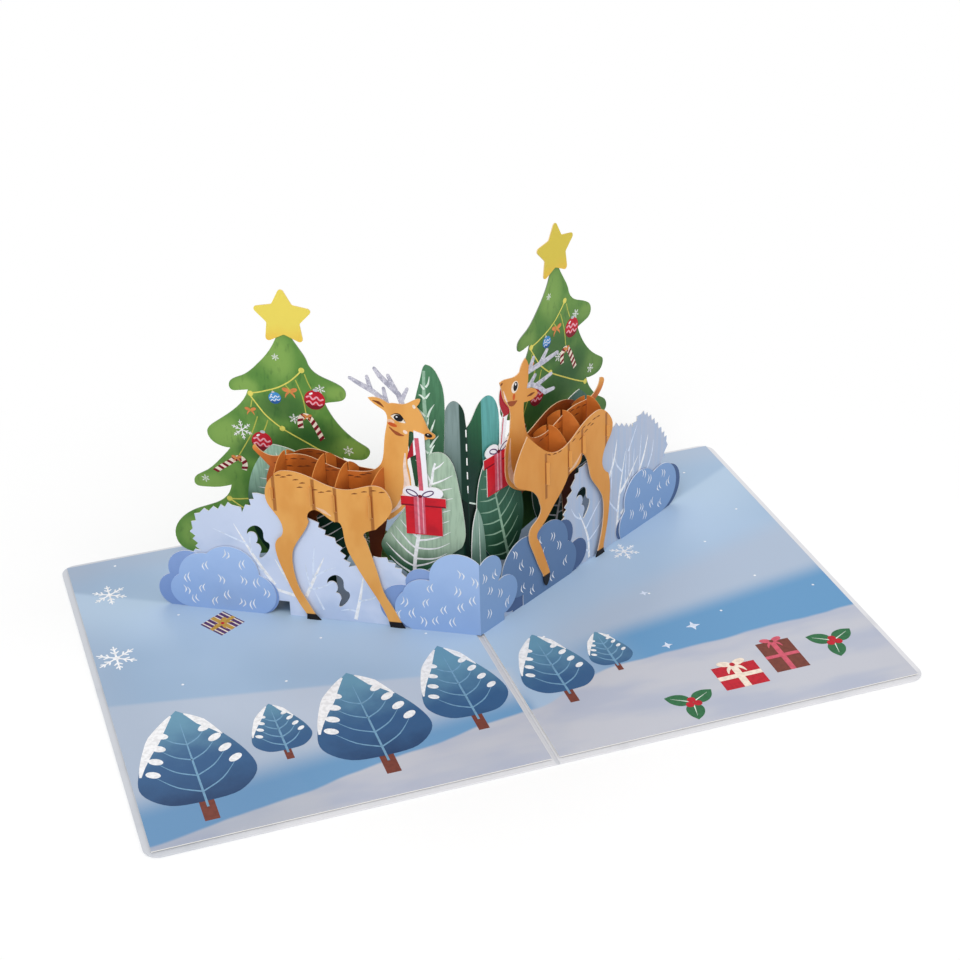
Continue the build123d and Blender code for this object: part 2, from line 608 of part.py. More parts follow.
# Frost leaf wall: one folded sheet with a saw edge and curls cut through it
with BuildPart() as front_wall:
    for side, shares, end in zip((left, right), (left_wall_shares, right_wall_shares), wall_end_shares):
        with BuildSketch(upright(side, 0)):
            edge = saw_edge([(u * wall_reach, z * wall_reach) for u, z in shares], -side)
            with BuildLine():
                Polyline(
                    (0, 0),
                    (side * end * wall_reach, 0),
                    *edge,
                    (0, wall_crease_share * wall_reach),
                    close=True,
                )
            make_face()
        extrude(amount=-sheet)
    for side, u, z in curl_place_shares:
        with BuildSketch(upright(side, 0)) as curl:
            cut_line(curl_shares, curl_height, u * wall_reach, z * wall_reach)
            straighten(curl)
        extrude(amount=-sheet, mode=Mode.SUBTRACT)
    notch_place, notch_length, notch_height = (share * wall_reach for share in wall_notch_shares)
    with BuildSketch(upright(left, 0)):
        with Locations((notch_place, 0)):
            Rectangle(notch_length, notch_height, align=(Align.CENTER, Align.MIN))
    extrude(amount=-sheet, mode=Mode.SUBTRACT)
    tabs("front_wall")
keep(front_wall, "front_wall")

# Centre clouds: folded on the wall's crease, one layer behind the other
for label, lobes, depth in (
    ("centre_cloud", centre_cloud_shares, centre_cloud_depth),
    ("centre_cloud_back", centre_back_shares, cloud_back_depth),
):
    with BuildPart() as centre_cloud:
        for side in (left, right):
            with BuildSketch(upright(side, depth)) as wing:
                cloud(lobes, centre_cloud_width)
                with Locations((side * centre_cloud_width, 0)):
                    Rectangle(2 * centre_cloud_width, 2 * centre_cloud_width, mode=Mode.INTERSECT)
                straighten(wing)
            extrude(amount=-sheet)
    keep(centre_cloud, label)

# Flat clouds glued on the wall, each in two layers
centre_end, inner_end = centre_back_shares[-1], inner_back_shares[0]
inner_cloud_place = (
    (centre_end[0] + centre_end[2]) * centre_cloud_width
    + cloud_gap
    + (inner_end[2] - inner_end[0]) * inner_cloud_width
)
for label, side, place, width, lobes, depth in (
    ("cloud_left", left, -left_cloud_place, left_cloud_width, left_cloud_shares, cloud_depth),
    ("cloud_left_back", left, -left_cloud_place, left_cloud_width, left_back_shares, cloud_back_depth),
    ("cloud_inner", right, inner_cloud_place, inner_cloud_width, inner_cloud_shares, cloud_depth),
    ("cloud_inner_back", right, inner_cloud_place, inner_cloud_width, inner_back_shares, cloud_back_depth),
    ("cloud_right", right, right_cloud_place, right_cloud_width, right_cloud_shares, cloud_depth),
    ("cloud_right_back", right, right_cloud_place, right_cloud_width, right_back_shares, cloud_back_depth),
):
    with BuildPart() as flat_cloud:
        with BuildSketch(upright(side, depth)) as lobed:
            cloud(lobes, width, place)
            straighten(lobed)
        extrude(amount=-sheet)
    keep(flat_cloud, label)

# Second fold: leaves on one creased sheet, perforated along its crease
with BuildPart() as leaf_fold:
    for side, shares in ((left, left_fold_shares), (right, right_fold_shares)):
        with BuildSketch(upright(side, fold_leaf_depth)) as wing:
            cut_line(shares, fold_leaf_height)
            straighten(wing)
        extrude(amount=-sheet)
    crease_plane = Plane(
        origin=(0, crease_y + fold_leaf_depth / turn_cos, page_top), x_dir=(1, 0, 0), z_dir=(0, -1, 0)
    )
    with BuildSketch(crease_plane):
        first_share, last_share, pitch_share = perforation_shares
        for number in range(round((last_share - first_share) / pitch_share) + 1):
            with Locations((0, (first_share + number * pitch_share) * fold_leaf_height)):
                Rectangle(perforation_width, perforation_length)
    extrude(amount=2 * sheet, both=True, mode=Mode.SUBTRACT)
    tabs("leaf_fold")
keep(leaf_fold, "leaf_fold")

# Single leaves on the left of the crease
for label, shares, height, depth in (
    ("tall_leaf", tall_leaf_shares, tall_leaf_height, tall_leaf_depth),
    ("pale_leaf", pale_leaf_shares, pale_leaf_height, broad_leaf_depth),
):
    with BuildPart() as left_leaf:
        with BuildSketch(upright(left, depth)) as blade:
            cut_line(shares, height)
            straighten(blade)
        extrude(amount=-sheet)
    keep(left_leaf, label)

# Single leaves on the right of the crease
dark_leaf_place = leaf_place(dark_leaf_length, dark_leaf_width)
for label, depth, place, foot, length, width, lean in (
    ("dark_leaf", broad_leaf_depth, dark_leaf_place, broad_leaf_stem,
     dark_leaf_length, dark_leaf_width, -broad_leaf_lean),
    ("small_leaf", head_back_depth, small_leaf_place, small_leaf_stem,
     small_leaf_length, small_leaf_width, small_leaf_lean),
):
    with BuildPart() as right_leaf:
        with BuildSketch(upright(right, depth)) as blade:
            leaf(place, foot, length, width, lean, stem_width)
            straighten(blade)
        extrude(amount=-sheet)
    keep(right_leaf, label)

# Broad leaves behind the deer
for side, word in ((left, "left"), (right, "right")):
    with BuildPart() as side_leaf:
        with BuildSketch(upright(side, side_leaf_depth)) as blade:
            leaf(side * side_leaf_place, side_leaf_stem, side_leaf_length, side_leaf_width,
                 side * side_leaf_lean, side_stem_width)
            straighten(blade)
        extrude(amount=-sheet)
        tabs(f"side_leaf_{word}")
    keep(side_leaf, f"side_leaf_{word}")

# Trees and the stars glued on their tips
for side, word, tall in ((left, "left", 1.0), (right, "right", right_tree_rise_share)):
    with BuildPart() as tree:
        with BuildSketch(upright(side, tree_depth)) as tiers:
            cut_line(tree_shares, tree_spread, side * tree_place, 0, tall)
            straighten(tiers)
        extrude(amount=-sheet)
        tabs(f"tree_{word}")
    keep(tree, f"tree_{word}")
    with BuildPart() as star:
        with BuildSketch(upright(side, star_depth)) as star_face:
            with Locations((side * tree_place, star_place_share * tree_spread * tall)):
                Polygon(
                    *[
                        (
                            (star_radius, star_waist)[point % 2] * sin(point * pi / star_points),
                            (star_radius, star_waist)[point % 2] * cos(point * pi / star_points),
                        )
                        for point in range(2 * star_points)
                    ],
                    align=None,
                )
            fillet(star_face.vertices(), star_round)
            straighten(star_face)
        extrude(amount=-sheet)
    keep(star, f"star_{word}")

slit_width = sheet * (1 + cos(cross_turn)) / sin(cross_turn) + 2 * rib_clearance

# Deer: three profiles held apart by four ribs.
# Each rib is tabbed into the outer two profiles and halved into the middle one.
for side, word, near_shares, middle_shares, far_shares in (
    (left, "left", left_near_shares, left_middle_shares, left_far_shares),
    (right, "right", right_near_shares, right_middle_shares, right_far_shares),
):
    for layer, shares, depth in (("near", near_shares, near_depth), ("far", far_shares, far_depth)):
        with BuildPart() as profile:
            with BuildSketch(upright(side, depth)) as outline:
                cut_line(shares, deer_height)
                straighten(outline)
                for index, (low, high) in enumerate(rib_tab_shares):
                    across = rib_slit(side, index, depth + sheet / 2)
                    with Locations((across, (low * deer_height) - rib_clearance)):
                        Rectangle(
                            slit_width,
                            (high - low) * deer_height + 2 * rib_clearance,
                            align=(Align.CENTER, Align.MIN),
                            mode=Mode.SUBTRACT,
                        )
            extrude(amount=-sheet)
            tabs(f"deer_{word}_{layer}")
        keep(profile, f"deer_{word}_{layer}")

    with BuildPart() as middle:
        with BuildSketch(upright(side, middle_depth)) as outline:
            cut_line(middle_shares, deer_height)
            straighten(outline)
            for index, (foot, slot, *tops) in enumerate(rib_rise_shares):
                across = rib_slit(side, index, middle_depth + sheet / 2)
                with Locations((across, slot * deer_height)):
                    Rectangle(
                        slit_width, slot * deer_height, align=(Align.CENTER, Align.MAX), mode=Mode.SUBTRACT
                    )
        extrude(amount=-sheet)
    keep(middle, f"deer_{word}_middle")

    for index, ((foot, slot, near_top, crest, far_top), (tab_low, tab_high)) in enumerate(
        zip(rib_rise_shares, rib_tab_shares)
    ):
        reach = (far_depth + sheet - near_depth) / sin(cross_turn)
        inner_start = (sheet + rib_clearance + sheet * cos(cross_turn) / 2) / sin(cross_turn)
        middle_at = (middle_depth + sheet / 2 - near_depth) / sin(cross_turn)
        rib_at = rib_place_shares[index] * deer_height
        rib_plane = Plane(
            origin=(
                side * rib_at * turn_cos,
                crease_y + near_depth / turn_cos + rib_at * turn_sin,
                page_top,
            ),
            x_dir=(-side * turn_cos, turn_sin, 0),
            z_dir=(turn_sin, side * turn_cos, 0),
        )
        with BuildPart() as rib:
            with BuildSketch(rib_plane) as blank:
                with BuildLine():
                    Line((inner_start, foot * deer_height), (inner_start, near_top * deer_height))
                    Spline(
                        (inner_start, near_top * deer_height),
                        (middle_at, crest * deer_height),
                        (reach - inner_start, far_top * deer_height),
                    )
                    Line(
                        (reach - inner_start, far_top * deer_height),
                        (reach - inner_start, foot * deer_height),
                    )
                    Line((reach - inner_start, foot * deer_height), (inner_start, foot * deer_height))
                make_face()
                with Locations((reach / 2, tab_low * deer_height)):
                    Rectangle(
                        reach + 2 * rib_overhang,
                        (tab_high - tab_low) * deer_height,
                        align=(Align.CENTER, Align.MIN),
                    )
                with Locations((middle_at, slot * deer_height)):
                    Rectangle(
                        slit_width, slot * deer_height, align=(Align.CENTER, Align.MIN), mode=Mode.SUBTRACT
                    )
                straighten(blank)
            extrude(amount=sheet / 2, both=True)
        keep(rib, f"deer_{word}_rib_{index + 1}")

# Antlers: silver card glued behind each head
for side, word, antlers in ((left, "left", left_antler_shares), (right, "right", right_antler_shares)):
    for number, tines in enumerate(antlers, start=1):
        with BuildPart() as antler:
            with BuildSketch(upright(side, head_back_depth)) as branch:
                joints = [root for root, tip in tines]
                for root, tip in tines:
                    tine(root, tip, antler_width * (1 if tip in joints else antler_tip_share))
                straighten(branch)
            extrude(amount=-sheet)
        keep(antler, f"deer_{word}_antler_{number}")

# Gifts: box, lid, bow and ribbon cut as one sheet, glued at the muzzle
for side, word, strap, (lid_u, lid_z), depth in (
    (left, "left", left_strap_shares, left_lid_share, gift_front_depth),
    (right, "right", right_strap_shares, right_lid_share, head_back_depth),
):
    with BuildPart() as gift:
        with BuildSketch(upright(side, depth)) as box:
            across, lid_middle = lid_u * deer_height, lid_z * deer_height
            with Locations((across, lid_middle)):
                Rectangle(lid_width, lid_height)
                Rectangle(gift_width, lid_height / 2 + gift_height, align=(Align.CENTER, Align.MAX))
            bow_across, bow_rise = (share * bow_radius for share in bow_place_shares)
            with Locations(
                (across - bow_across, lid_middle + lid_height / 2 + bow_rise),
                (across + bow_across, lid_middle + lid_height / 2 + bow_rise),
            ):
                Ellipse(bow_width_share * bow_radius, bow_radius)
            cut_line(strap, deer_height)
            straighten(box)
        extrude(amount=-sheet)
    keep(gift, f"deer_{word}_gift")
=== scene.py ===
"""Looks of the pop up card: printed paper finishes, printed motifs, floor, lamps and camera.

Sizes are in millimetres and turn into metres where a point is placed.
"""

import logging
import math
import random
from dataclasses import dataclass
from enum import Enum

import bpy
from mathutils import Matrix, Vector


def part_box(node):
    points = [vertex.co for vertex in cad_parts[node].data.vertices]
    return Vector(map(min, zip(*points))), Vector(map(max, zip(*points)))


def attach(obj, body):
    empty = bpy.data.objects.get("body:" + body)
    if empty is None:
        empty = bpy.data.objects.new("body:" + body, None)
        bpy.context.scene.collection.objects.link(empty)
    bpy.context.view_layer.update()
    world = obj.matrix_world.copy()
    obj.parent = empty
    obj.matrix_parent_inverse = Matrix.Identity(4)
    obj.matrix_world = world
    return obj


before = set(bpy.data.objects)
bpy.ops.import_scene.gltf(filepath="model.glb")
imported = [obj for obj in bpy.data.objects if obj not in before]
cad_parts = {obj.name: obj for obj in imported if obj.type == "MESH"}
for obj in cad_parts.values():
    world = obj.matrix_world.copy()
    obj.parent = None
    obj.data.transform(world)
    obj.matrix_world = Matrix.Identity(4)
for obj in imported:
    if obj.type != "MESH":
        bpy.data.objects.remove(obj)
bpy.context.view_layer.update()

log = logging.getLogger("pop_up_card")

MM = 0.001
BODY = "root"
LEFT, RIGHT = -1, 1

Colour = tuple[float, float, float, float]
Point = tuple[float, float]
Outline = list[Point]


def tone(red: int, green: int, blue: int) -> Colour:
    """Linear colour of a printed tone.

    Args:
        red: red step, from 0 to 255.
        green: green step.
        blue: blue step.

    Returns:
        The linear colour with full alpha.
    """
    def line(step: int) -> float:
        """Linear share of one step."""
        share = step / 255
        return share / 12.92 if share <= 0.04045 else ((share + 0.055) / 1.055) ** 2.4

    return line(red), line(green), line(blue), 1.0


PAPER = tone(240, 238, 234)
# Colour factor of the painted shade towards the left end of the card.
LEFT_SHADE_TINT = (0.8, 0.83, 0.86, 1.0)
FIBRE = 2.5


def word_of(side: int) -> str:
    """Word for a side in the names of pieces."""
    return "left" if side == LEFT else "right"


class Ink(Enum):
    """Inks of the printed motifs, each with its tone."""

    WHITE = (248, 248, 250)
    FROST = (222, 232, 250)
    VEIN = (226, 240, 228)
    PALE_VEIN = (150, 186, 160)
    CREAM = (248, 232, 214)
    RED = (196, 24, 44)
    DARK_RED = (128, 14, 34)
    PINK = (240, 168, 182)
    ROSE = (216, 92, 112)
    PURPLE = (92, 58, 108)
    GARLAND = (230, 220, 104)
    THREAD = (190, 192, 84)
    ORANGE = (222, 138, 78)
    GOLD = (206, 160, 70)
    SILVER = (196, 198, 206)
    BLUSH = (212, 92, 34)
    CHEST = (240, 196, 160)
    PALE_CHEST = (246, 220, 204)
    SMILE = (160, 78, 38)
    DASH = (124, 62, 24)
    BARK = (122, 62, 50)
    BLACK = (18, 16, 20)
    BLUE = (74, 150, 214)
    DEEP_BLUE = (40, 92, 160)
    BRANCH = (120, 164, 196)
    HOLLY = (48, 112, 70)
    # Near black green of the painted shade in the crease's opening.
    SHADE_GREEN = (10, 30, 24)


class Socket:
    """One shader socket. Arithmetic on it adds Math nodes."""

    def __init__(self, shade: "Shade", plug: bpy.types.NodeSocket) -> None:
        """Keep the socket and the shade that it belongs to.

        Args:
            shade: the node tree's writer.
            plug: the output socket.
        """
        self.shade = shade
        self.plug = plug

    def __add__(self, other: "Socket | float") -> "Socket":
        """Sum."""
        return self.shade.maths("ADD", self, other)

    def __sub__(self, other: "Socket | float") -> "Socket":
        """Difference."""
        return self.shade.maths("SUBTRACT", self, other)

    def __rsub__(self, other: "Socket | float") -> "Socket":
        """Difference from a number."""
        return self.shade.maths("SUBTRACT", other, self)

    def __mul__(self, other: "Socket | float") -> "Socket":
        """Product."""
        return self.shade.maths("MULTIPLY", self, other)

    def __truediv__(self, other: "Socket | float") -> "Socket":
        """Quotient."""
        return self.shade.maths("DIVIDE", self, other)

    __radd__ = __add__
    __rmul__ = __mul__


Value = Socket | float | Colour | tuple[float, float, float]


class Shade:
    """Writer of one material's node tree, with places in millimetres."""

    bump_strength = 0.6
    gloss = 0.25

    def __init__(self, name: str) -> None:
        """Start an empty tree with its output and its coordinates.

        Args:
            name: the material's name.
        """
        self.material = bpy.data.materials.new(name)
        self.material.use_nodes = True
        self.tree = self.material.node_tree
        self.tree.nodes.clear()
        self.output = self.tree.nodes.new("ShaderNodeOutputMaterial")
        coordinates = self.node("ShaderNodeTexCoord")
        self.place = self.vector("MULTIPLY", Socket(self, coordinates.outputs["Object"]), (1000, 1000, 1000))
        self.x, self.y, self.z = self.parts(self.place)
        self.look = self.parts(Socket(self, coordinates.outputs["Normal"]))

    def node(self, kind: str, settings: dict | None = None, inputs: dict | None = None) -> bpy.types.Node:
        """Add any node.

        Args:
            kind: the node's type.
            settings: its properties, set first.
            inputs: values or sockets by input name or number.

        Returns:
            The new node.
        """
        made = self.tree.nodes.new(kind)
        for name, value in (settings or {}).items():
            setattr(made, name, value)
        for name, value in (inputs or {}).items():
            if isinstance(value, Socket):
                self.tree.links.new(value.plug, made.inputs[name])
            else:
                made.inputs[name].default_value = value
        return made

    def maths(self, operation: str, *values: "Socket | float", clamp: bool = False) -> Socket:
        """Add a Math node.

        Args:
            operation: its operation.
            values: numbers or sockets.
            clamp: whether the result stays from 0 to 1.

        Returns:
            Its result.
        """
        settings = {"operation": operation, "use_clamp": clamp}
        return Socket(self, self.node("ShaderNodeMath", settings, dict(enumerate(values))).outputs[0])

    def vector(self, operation: str, first: Value, second: Value) -> Socket:
        """Add a Vector Math node and return its vector."""
        made = self.node("ShaderNodeVectorMath", {"operation": operation}, {0: first, 1: second})
        return Socket(self, made.outputs[0])

    def parts(self, vector: Socket) -> tuple[Socket, Socket, Socket]:
        """Split a vector into its three numbers."""
        made = self.node("ShaderNodeSeparateXYZ", None, {0: vector})
        return Socket(self, made.outputs[0]), Socket(self, made.outputs[1]), Socket(self, made.outputs[2])

    def mix(self, low: Value, high: Value, share: "Socket | float", blend: str = "MIX") -> Socket:
        """Mix two colours.

        Args:
            low: colour where the share is 0.
            high: colour where the share is 1.
            share: the mixing share.
            blend: the way of mixing.

        Returns:
            The mixed colour.
        """
        settings = {"data_type": "RGBA", "blend_type": blend, "clamp_factor": True}
        made = self.node("ShaderNodeMix", settings, {0: share, 6: low, 7: high})
        return Socket(self, made.outputs[2])

    def rise(self, value: Socket, low: float, high: float) -> Socket:
        """Smooth step from 0 at low to 1 at high.

        Args:
            value: what is measured.
            low: where the step starts.
            high: where it ends; below low for a falling step.

        Returns:
            The step's share.
        """
        settings = {"interpolation_type": "SMOOTHSTEP"}
        made = self.node(
            "ShaderNodeMapRange", settings, {"Value": value, "From Min": low, "From Max": high}
        )
        return Socket(self, made.outputs["Result"])

    def noise(
        self, scale: float, detail: float = 3.0, stretch: tuple[float, float, float] = (1, 1, 1)
    ) -> Socket:
        """Soft noise over the place.

        Args:
            scale: patches per millimetre.
            detail: octaves.
            stretch: factors along X, Y and Z.

        Returns:
            Values around 0.5.
        """
        place = self.vector("MULTIPLY", self.place, stretch)
        made = self.node("ShaderNodeTexNoise", None, {"Vector": place, "Scale": scale, "Detail": detail})
        return Socket(self, made.outputs[0])

    def surface(
        self, base: Value, roughness: "Socket | float", height: Socket, depth: float, **fixed: float
    ) -> None:
        """Finish the tree with a Principled surface and a bump.

        Args:
            base: base colour.
            roughness: roughness.
            height: the bump's height.
            depth: the bump's depth in millimetres.
            fixed: other sockets of the surface with constant values.
        """
        relief = {"Height": height, "Distance": depth * MM, "Strength": self.bump_strength}
        bump = self.node("ShaderNodeBump", None, relief)
        principled = self.node("ShaderNodeBsdfPrincipled", None, {
            "Base Color": base, "Roughness": roughness, "Normal": Socket(self, bump.outputs[0]),
            "Specular IOR Level": self.gloss,
        })
        for name, value in fixed.items():
            principled.inputs[name].default_value = value
        self.tree.links.new(principled.outputs[0], self.output.inputs["Surface"])


@dataclass(frozen=True)
class Fold:
    """How the upright sheets stand on the pages."""

    page_top: float
    crease_y: float
    sheet: float = 0.4
    turn: float = 31.0

    @classmethod
    def measured(cls) -> "Fold":
        """Read the page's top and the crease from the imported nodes."""
        return cls(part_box("page_left")[1].z / MM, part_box("front_wall")[0].y / MM)

    @property
    def turn_cos(self) -> float:
        """Cosine of the sheets' turn."""
        return math.cos(math.radians(self.turn))

    @property
    def turn_sin(self) -> float:
        """Sine of the sheets' turn."""
        return math.sin(math.radians(self.turn))

    def front(self, side: int, depth: float) -> "Face":
        """Front face of a sheet.

        Args:
            side: -1 on the left wing and 1 on the right wing.
            depth: how far it lies behind the wall's face, square to the sheet.

        Returns:
            The face, across to the right and up from the page.
        """
        return Face(
            Vector((0, self.crease_y + depth / self.turn_cos, self.page_top)),
            Vector((self.turn_cos, side * self.turn_sin, 0)),
            Vector((0, 0, 1)),
            Vector((side * self.turn_sin, -self.turn_cos, 0)),
        )

    def back(self, side: int, depth: float) -> "Face":
        """Back face of the same sheet, with the same places across and up."""
        front = self.front(side, depth)
        return Face(front.origin - front.out * self.sheet, front.along, front.up, -front.out)

    def page(self) -> "Face":
        """Top face of both pages, across to the right and back from the origin."""
        return Face(Vector((0, 0, self.page_top)), Vector((1, 0, 0)), Vector((0, 1, 0)), Vector((0, 0, 1)))


@dataclass(frozen=True)
class Face:
    """A flat face that takes print: its zero, its two ways and the way it looks."""

    origin: Vector
    along: Vector
    up: Vector
    out: Vector

    def at(self, across: float, rise: float, lift: float) -> Vector:
        """Point of the face.

        Args:
            across: millimetres along the face.
            rise: millimetres up the face.
            lift: millimetres off the face.

        Returns:
            The point in metres.
        """
        return (self.origin + self.along * across + self.up * rise + self.out * lift) * MM

    def turned(self) -> bool:
        """Whether across and up run clockwise as the face is seen."""
        return self.along.cross(self.up).dot(self.out) < 0


@dataclass(frozen=True)
class InkFinish:
    """Dry ink on paper."""

    ink: Ink
    roughness: float = 0.55
    cloudiness: float = 0.16
    grain: float = 0.012

    def build(self) -> bpy.types.Material:
        """Make the ink's material.

        Returns:
            The material.
        """
        shade = Shade(f"ink_{self.ink.name.lower()}")
        base = tone(*self.ink.value)
        darker = tuple(part * (1 - self.cloudiness) for part in base[:3]) + (1.0,)
        colour = shade.mix(darker, base, shade.rise(shade.noise(0.6), 0.35, 0.6))
        fibres = shade.noise(FIBRE, 2)
        shade.surface(colour, self.roughness + fibres * 0.1, fibres, self.grain)
        return shade.material


@dataclass(frozen=True)
class CrownFinish:
    """Blue ink of the round winter trees on the page, deep at the foot and pale at the top."""

    name: str = "crown_print"
    foot: Colour = tone(30, 58, 98)
    middle: Colour = tone(52, 92, 136)
    top: Colour = tone(104, 152, 178)
    foot_y: float = -84.0
    middle_y: float = -56.0
    top_y: float = -22.0

    def build(self) -> bpy.types.Material:
        """Make the crown's material.

        Returns:
            The material.
        """
        shade = Shade(self.name)
        patches = (shade.noise(0.14) - 0.5) * 16
        height = shade.y + patches
        colour = shade.mix(self.foot, self.middle, shade.rise(height, self.foot_y, self.middle_y))
        colour = shade.mix(colour, self.top, shade.rise(height, self.middle_y, self.top_y))
        fibres = shade.noise(FIBRE, 2)
        shade.surface(colour, 0.5 + fibres * 0.1, fibres, 0.012)
        return shade.material


class SheetShade(Shade):
    """Shade of an upright sheet, with masks for its front, its back and its cut edge."""

    def __init__(self, name: str, fold: Fold, crossing: bool = False) -> None:
        """Work out where the sheet faces.

        Args:
            name: the material's name.
            fold: how the sheets stand.
            crossing: whether the piece runs along the other wing's sheets, as a rib does.
        """
        super().__init__(name)
        side = self.maths("SIGN", self.x)
        way = -1 if crossing else 1
        facing = side * self.look[0] * (way * fold.turn_sin) - self.look[1] * fold.turn_cos
        self.front = self.maths("GREATER_THAN", facing, 0.5)
        self.back = self.maths("LESS_THAN", facing, -0.5)
        self.right_wing = self.maths("GREATER_THAN", self.x, 0.0)
        self.across = self.x / fold.turn_cos
        self.up = self.z - fold.page_top
        self.fibres = self.noise(FIBRE, 2)

    def leftward(self, colour: Value, share: float = 1.0) -> Socket:
        """Darken a colour towards the left end of the card: painted shade."""
        return self.mix(colour, LEFT_SHADE_TINT, self.rise(self.x, -58.0, -112.0) * share, "MULTIPLY")

    def spot(self, across: float, up: float, wide: float, tall: float) -> Socket:
        """Soft round mask.

        Args:
            across: middle across the sheet.
            up: middle above the page.
            wide: half width.
            tall: half height.

        Returns:
            1 at the middle, falling to 0 at the rim.
        """
        far_across = (self.across - across) / wide
        far_up = (self.up - up) / tall
        return self.rise(far_across * far_across + far_up * far_up, 1.0, 0.0)

    def strip(self, across: float, low: float, high: float, wide: float) -> Socket:
        """Soft upright strip.

        Args:
            across: middle of the strip.
            low: its lower end.
            high: its upper end.
            wide: half width.

        Returns:
            The strip's mask.
        """
        beside = self.maths("ABSOLUTE", self.across - across)
        inside = self.rise(beside, wide, wide * 0.45)
        return inside * self.rise(self.up, low - 0.6, low) * self.rise(self.up, high + 0.6, high)

    def press(
        self, front: Value, back: Value, edge: Value = PAPER, roughness: float = 0.5
    ) -> bpy.types.Material:
        """Finish the sheet.

        Args:
            front: colour of the front.
            back: colour of the back.
            edge: colour of the cut edge.
            roughness: mean roughness.

        Returns:
            The material.
        """
        colour = self.mix(edge, front, self.front)
        colour = self.mix(colour, back, self.back)
        self.surface(colour, self.fibres * 0.12 + (roughness - 0.06), self.fibres, 0.016)
        return self.material


@dataclass(frozen=True)
class CoverStock:
    """White cover board: faint fibre, mottling, painted shade along the spine and at the left end."""

    name: str = "cover_stock"
    white: Colour = tone(224, 224, 228)
    # Darker tone of the random mottling and of the painted shade along the spine.
    shadow: Colour = tone(200, 202, 208)

    def build(self) -> bpy.types.Material:
        """Make the board's material.

        Returns:
            The material.
        """
        shade = Shade(self.name)
        fibres = shade.noise(1.6, 4)
        colour = shade.mix(self.white, self.shadow, shade.rise(shade.noise(0.05), 0.5, 0.75) * 0.5)
        # Painted shade in the spine's crease.
        crease_shade = shade.rise(shade.maths("ABSOLUTE", shade.x), 1.1, 0.5)
        colour = shade.mix(colour, self.shadow, crease_shade * 0.6)
        # Painted shade towards the board's left end.
        colour = shade.mix(colour, LEFT_SHADE_TINT, shade.rise(shade.x, -90.0, -146.0) * 0.9, "MULTIPLY")
        shade.surface(colour, fibres * 0.15 + 0.5, fibres, 0.02)
        return shade.material


@dataclass(frozen=True)
class PagePrint:
    """Winter ground: sky, haze, deep blue band, far hill, near snow field; painted light and shade."""

    name: str = "page_print"
    sky: Colour = tone(158, 184, 212)
    sky_light: Colour = tone(166, 191, 218)
    haze: Colour = tone(172, 187, 208)
    band: Colour = tone(94, 150, 196)
    hill: Colour = tone(186, 198, 216)
    snow: Colour = tone(194, 196, 206)
    snow_shade: Colour = tone(178, 184, 202)
    # Painted shade on the page behind the wall.
    shade_behind_wall: Colour = tone(66, 92, 124)
    # Painted light on the page just before the wall.
    lit: Colour = tone(186, 208, 230)
    front_edge: float = -100.0
    crease_y: float = -12.0
    wing_slope: float = 0.601

    def build(self) -> bpy.types.Material:
        """Make the page's material.

        Returns:
            The material.
        """
        shade = Shade(self.name)
        depth = shade.y - self.front_edge
        leftward = shade.maths("MINIMUM", shade.x, 0.0)
        rightward = shade.maths("MAXIMUM", shade.x, 0.0)
        slow = shade.noise(0.012, 2)
        colour = shade.mix(self.sky, self.sky_light, shade.rise(slow, 0.4, 0.62))
        corner = shade.rise(depth, 176.0, 196.0) + shade.rise(leftward, -128.0, -150.0) * 0.5
        colour = shade.mix(colour, self.haze, corner * 0.75)
        high_line = rightward * 0.32 + 74.0
        low_line = rightward * 0.155 + 62.0
        right_page = shade.rise(shade.x, 2.0, 40.0)
        hazy = shade.rise(depth - high_line, 12.0, -8.0) * right_page
        colour = shade.mix(colour, self.haze, hazy * 0.9)
        right_band = shade.rise(depth - low_line, 7.0, -7.0) * shade.rise(shade.x, 12.0, 60.0)
        colour = shade.mix(colour, self.band, right_band)
        hill_line = leftward * -0.2 + 62.0
        left_page = shade.rise(shade.x, 6.0, 0.0)
        colour = shade.mix(colour, self.hill, shade.rise(depth - hill_line, 1.6, -1.2) * left_page)
        far_line = leftward * 0.1 + 44.0
        colour = shade.mix(colour, self.band, shade.rise(depth - far_line, 8.0, -10.0) * left_page * 0.9)
        field = leftward * 0.19 + rightward * 0.055 + shade.rise(shade.x, 0.0, 45.0) * 13.0 + 33.0
        ripples = (shade.noise(0.03, 2) - 0.5) * 5.0
        drifts = shade.rise(shade.noise(0.035, 3, (0.5, 1.6, 1)), 0.4, 0.65)
        snow = shade.mix(self.snow, self.snow_shade, drifts)
        colour = shade.mix(colour, snow, shade.rise(depth - field + ripples, 0.9, -0.9))
        past = shade.y - self.crease_y - shade.maths("ABSOLUTE", shade.x) * self.wing_slope
        # Painted shade towards the left end, reaching further right near the front edge.
        near = shade.rise(shade.y, -20.0, -60.0)
        colour = shade.mix(colour, LEFT_SHADE_TINT, shade.rise(shade.x + near * -34.0, -92.0, -146.0), "MULTIPLY")
        # Painted light on the page just before the wall.
        before = shade.rise(past, -50.0, -8.0) * shade.rise(past, 2.0, -2.0)
        colour = shade.mix(colour, self.lit, before * 0.6)
        # Painted shade on the page behind the wall's wings.
        shade_behind_wall = shade.rise(past, 1.0, 5.0) * shade.rise(past, 58.0, 40.0)
        shade_behind_wall = shade_behind_wall * shade.rise(shade.maths("ABSOLUTE", shade.x), 104.0, 88.0)
        colour = shade.mix(colour, self.shade_behind_wall, shade_behind_wall * 0.9)
        colour = shade.mix(PAPER, colour, shade.maths("GREATER_THAN", shade.look[2], 0.5))
        fibres = shade.noise(2.2, 3)
        shade.surface(colour, fibres * 0.15 + 0.36, fibres, 0.014, **{"Coat Weight": 0.06})
        return shade.material


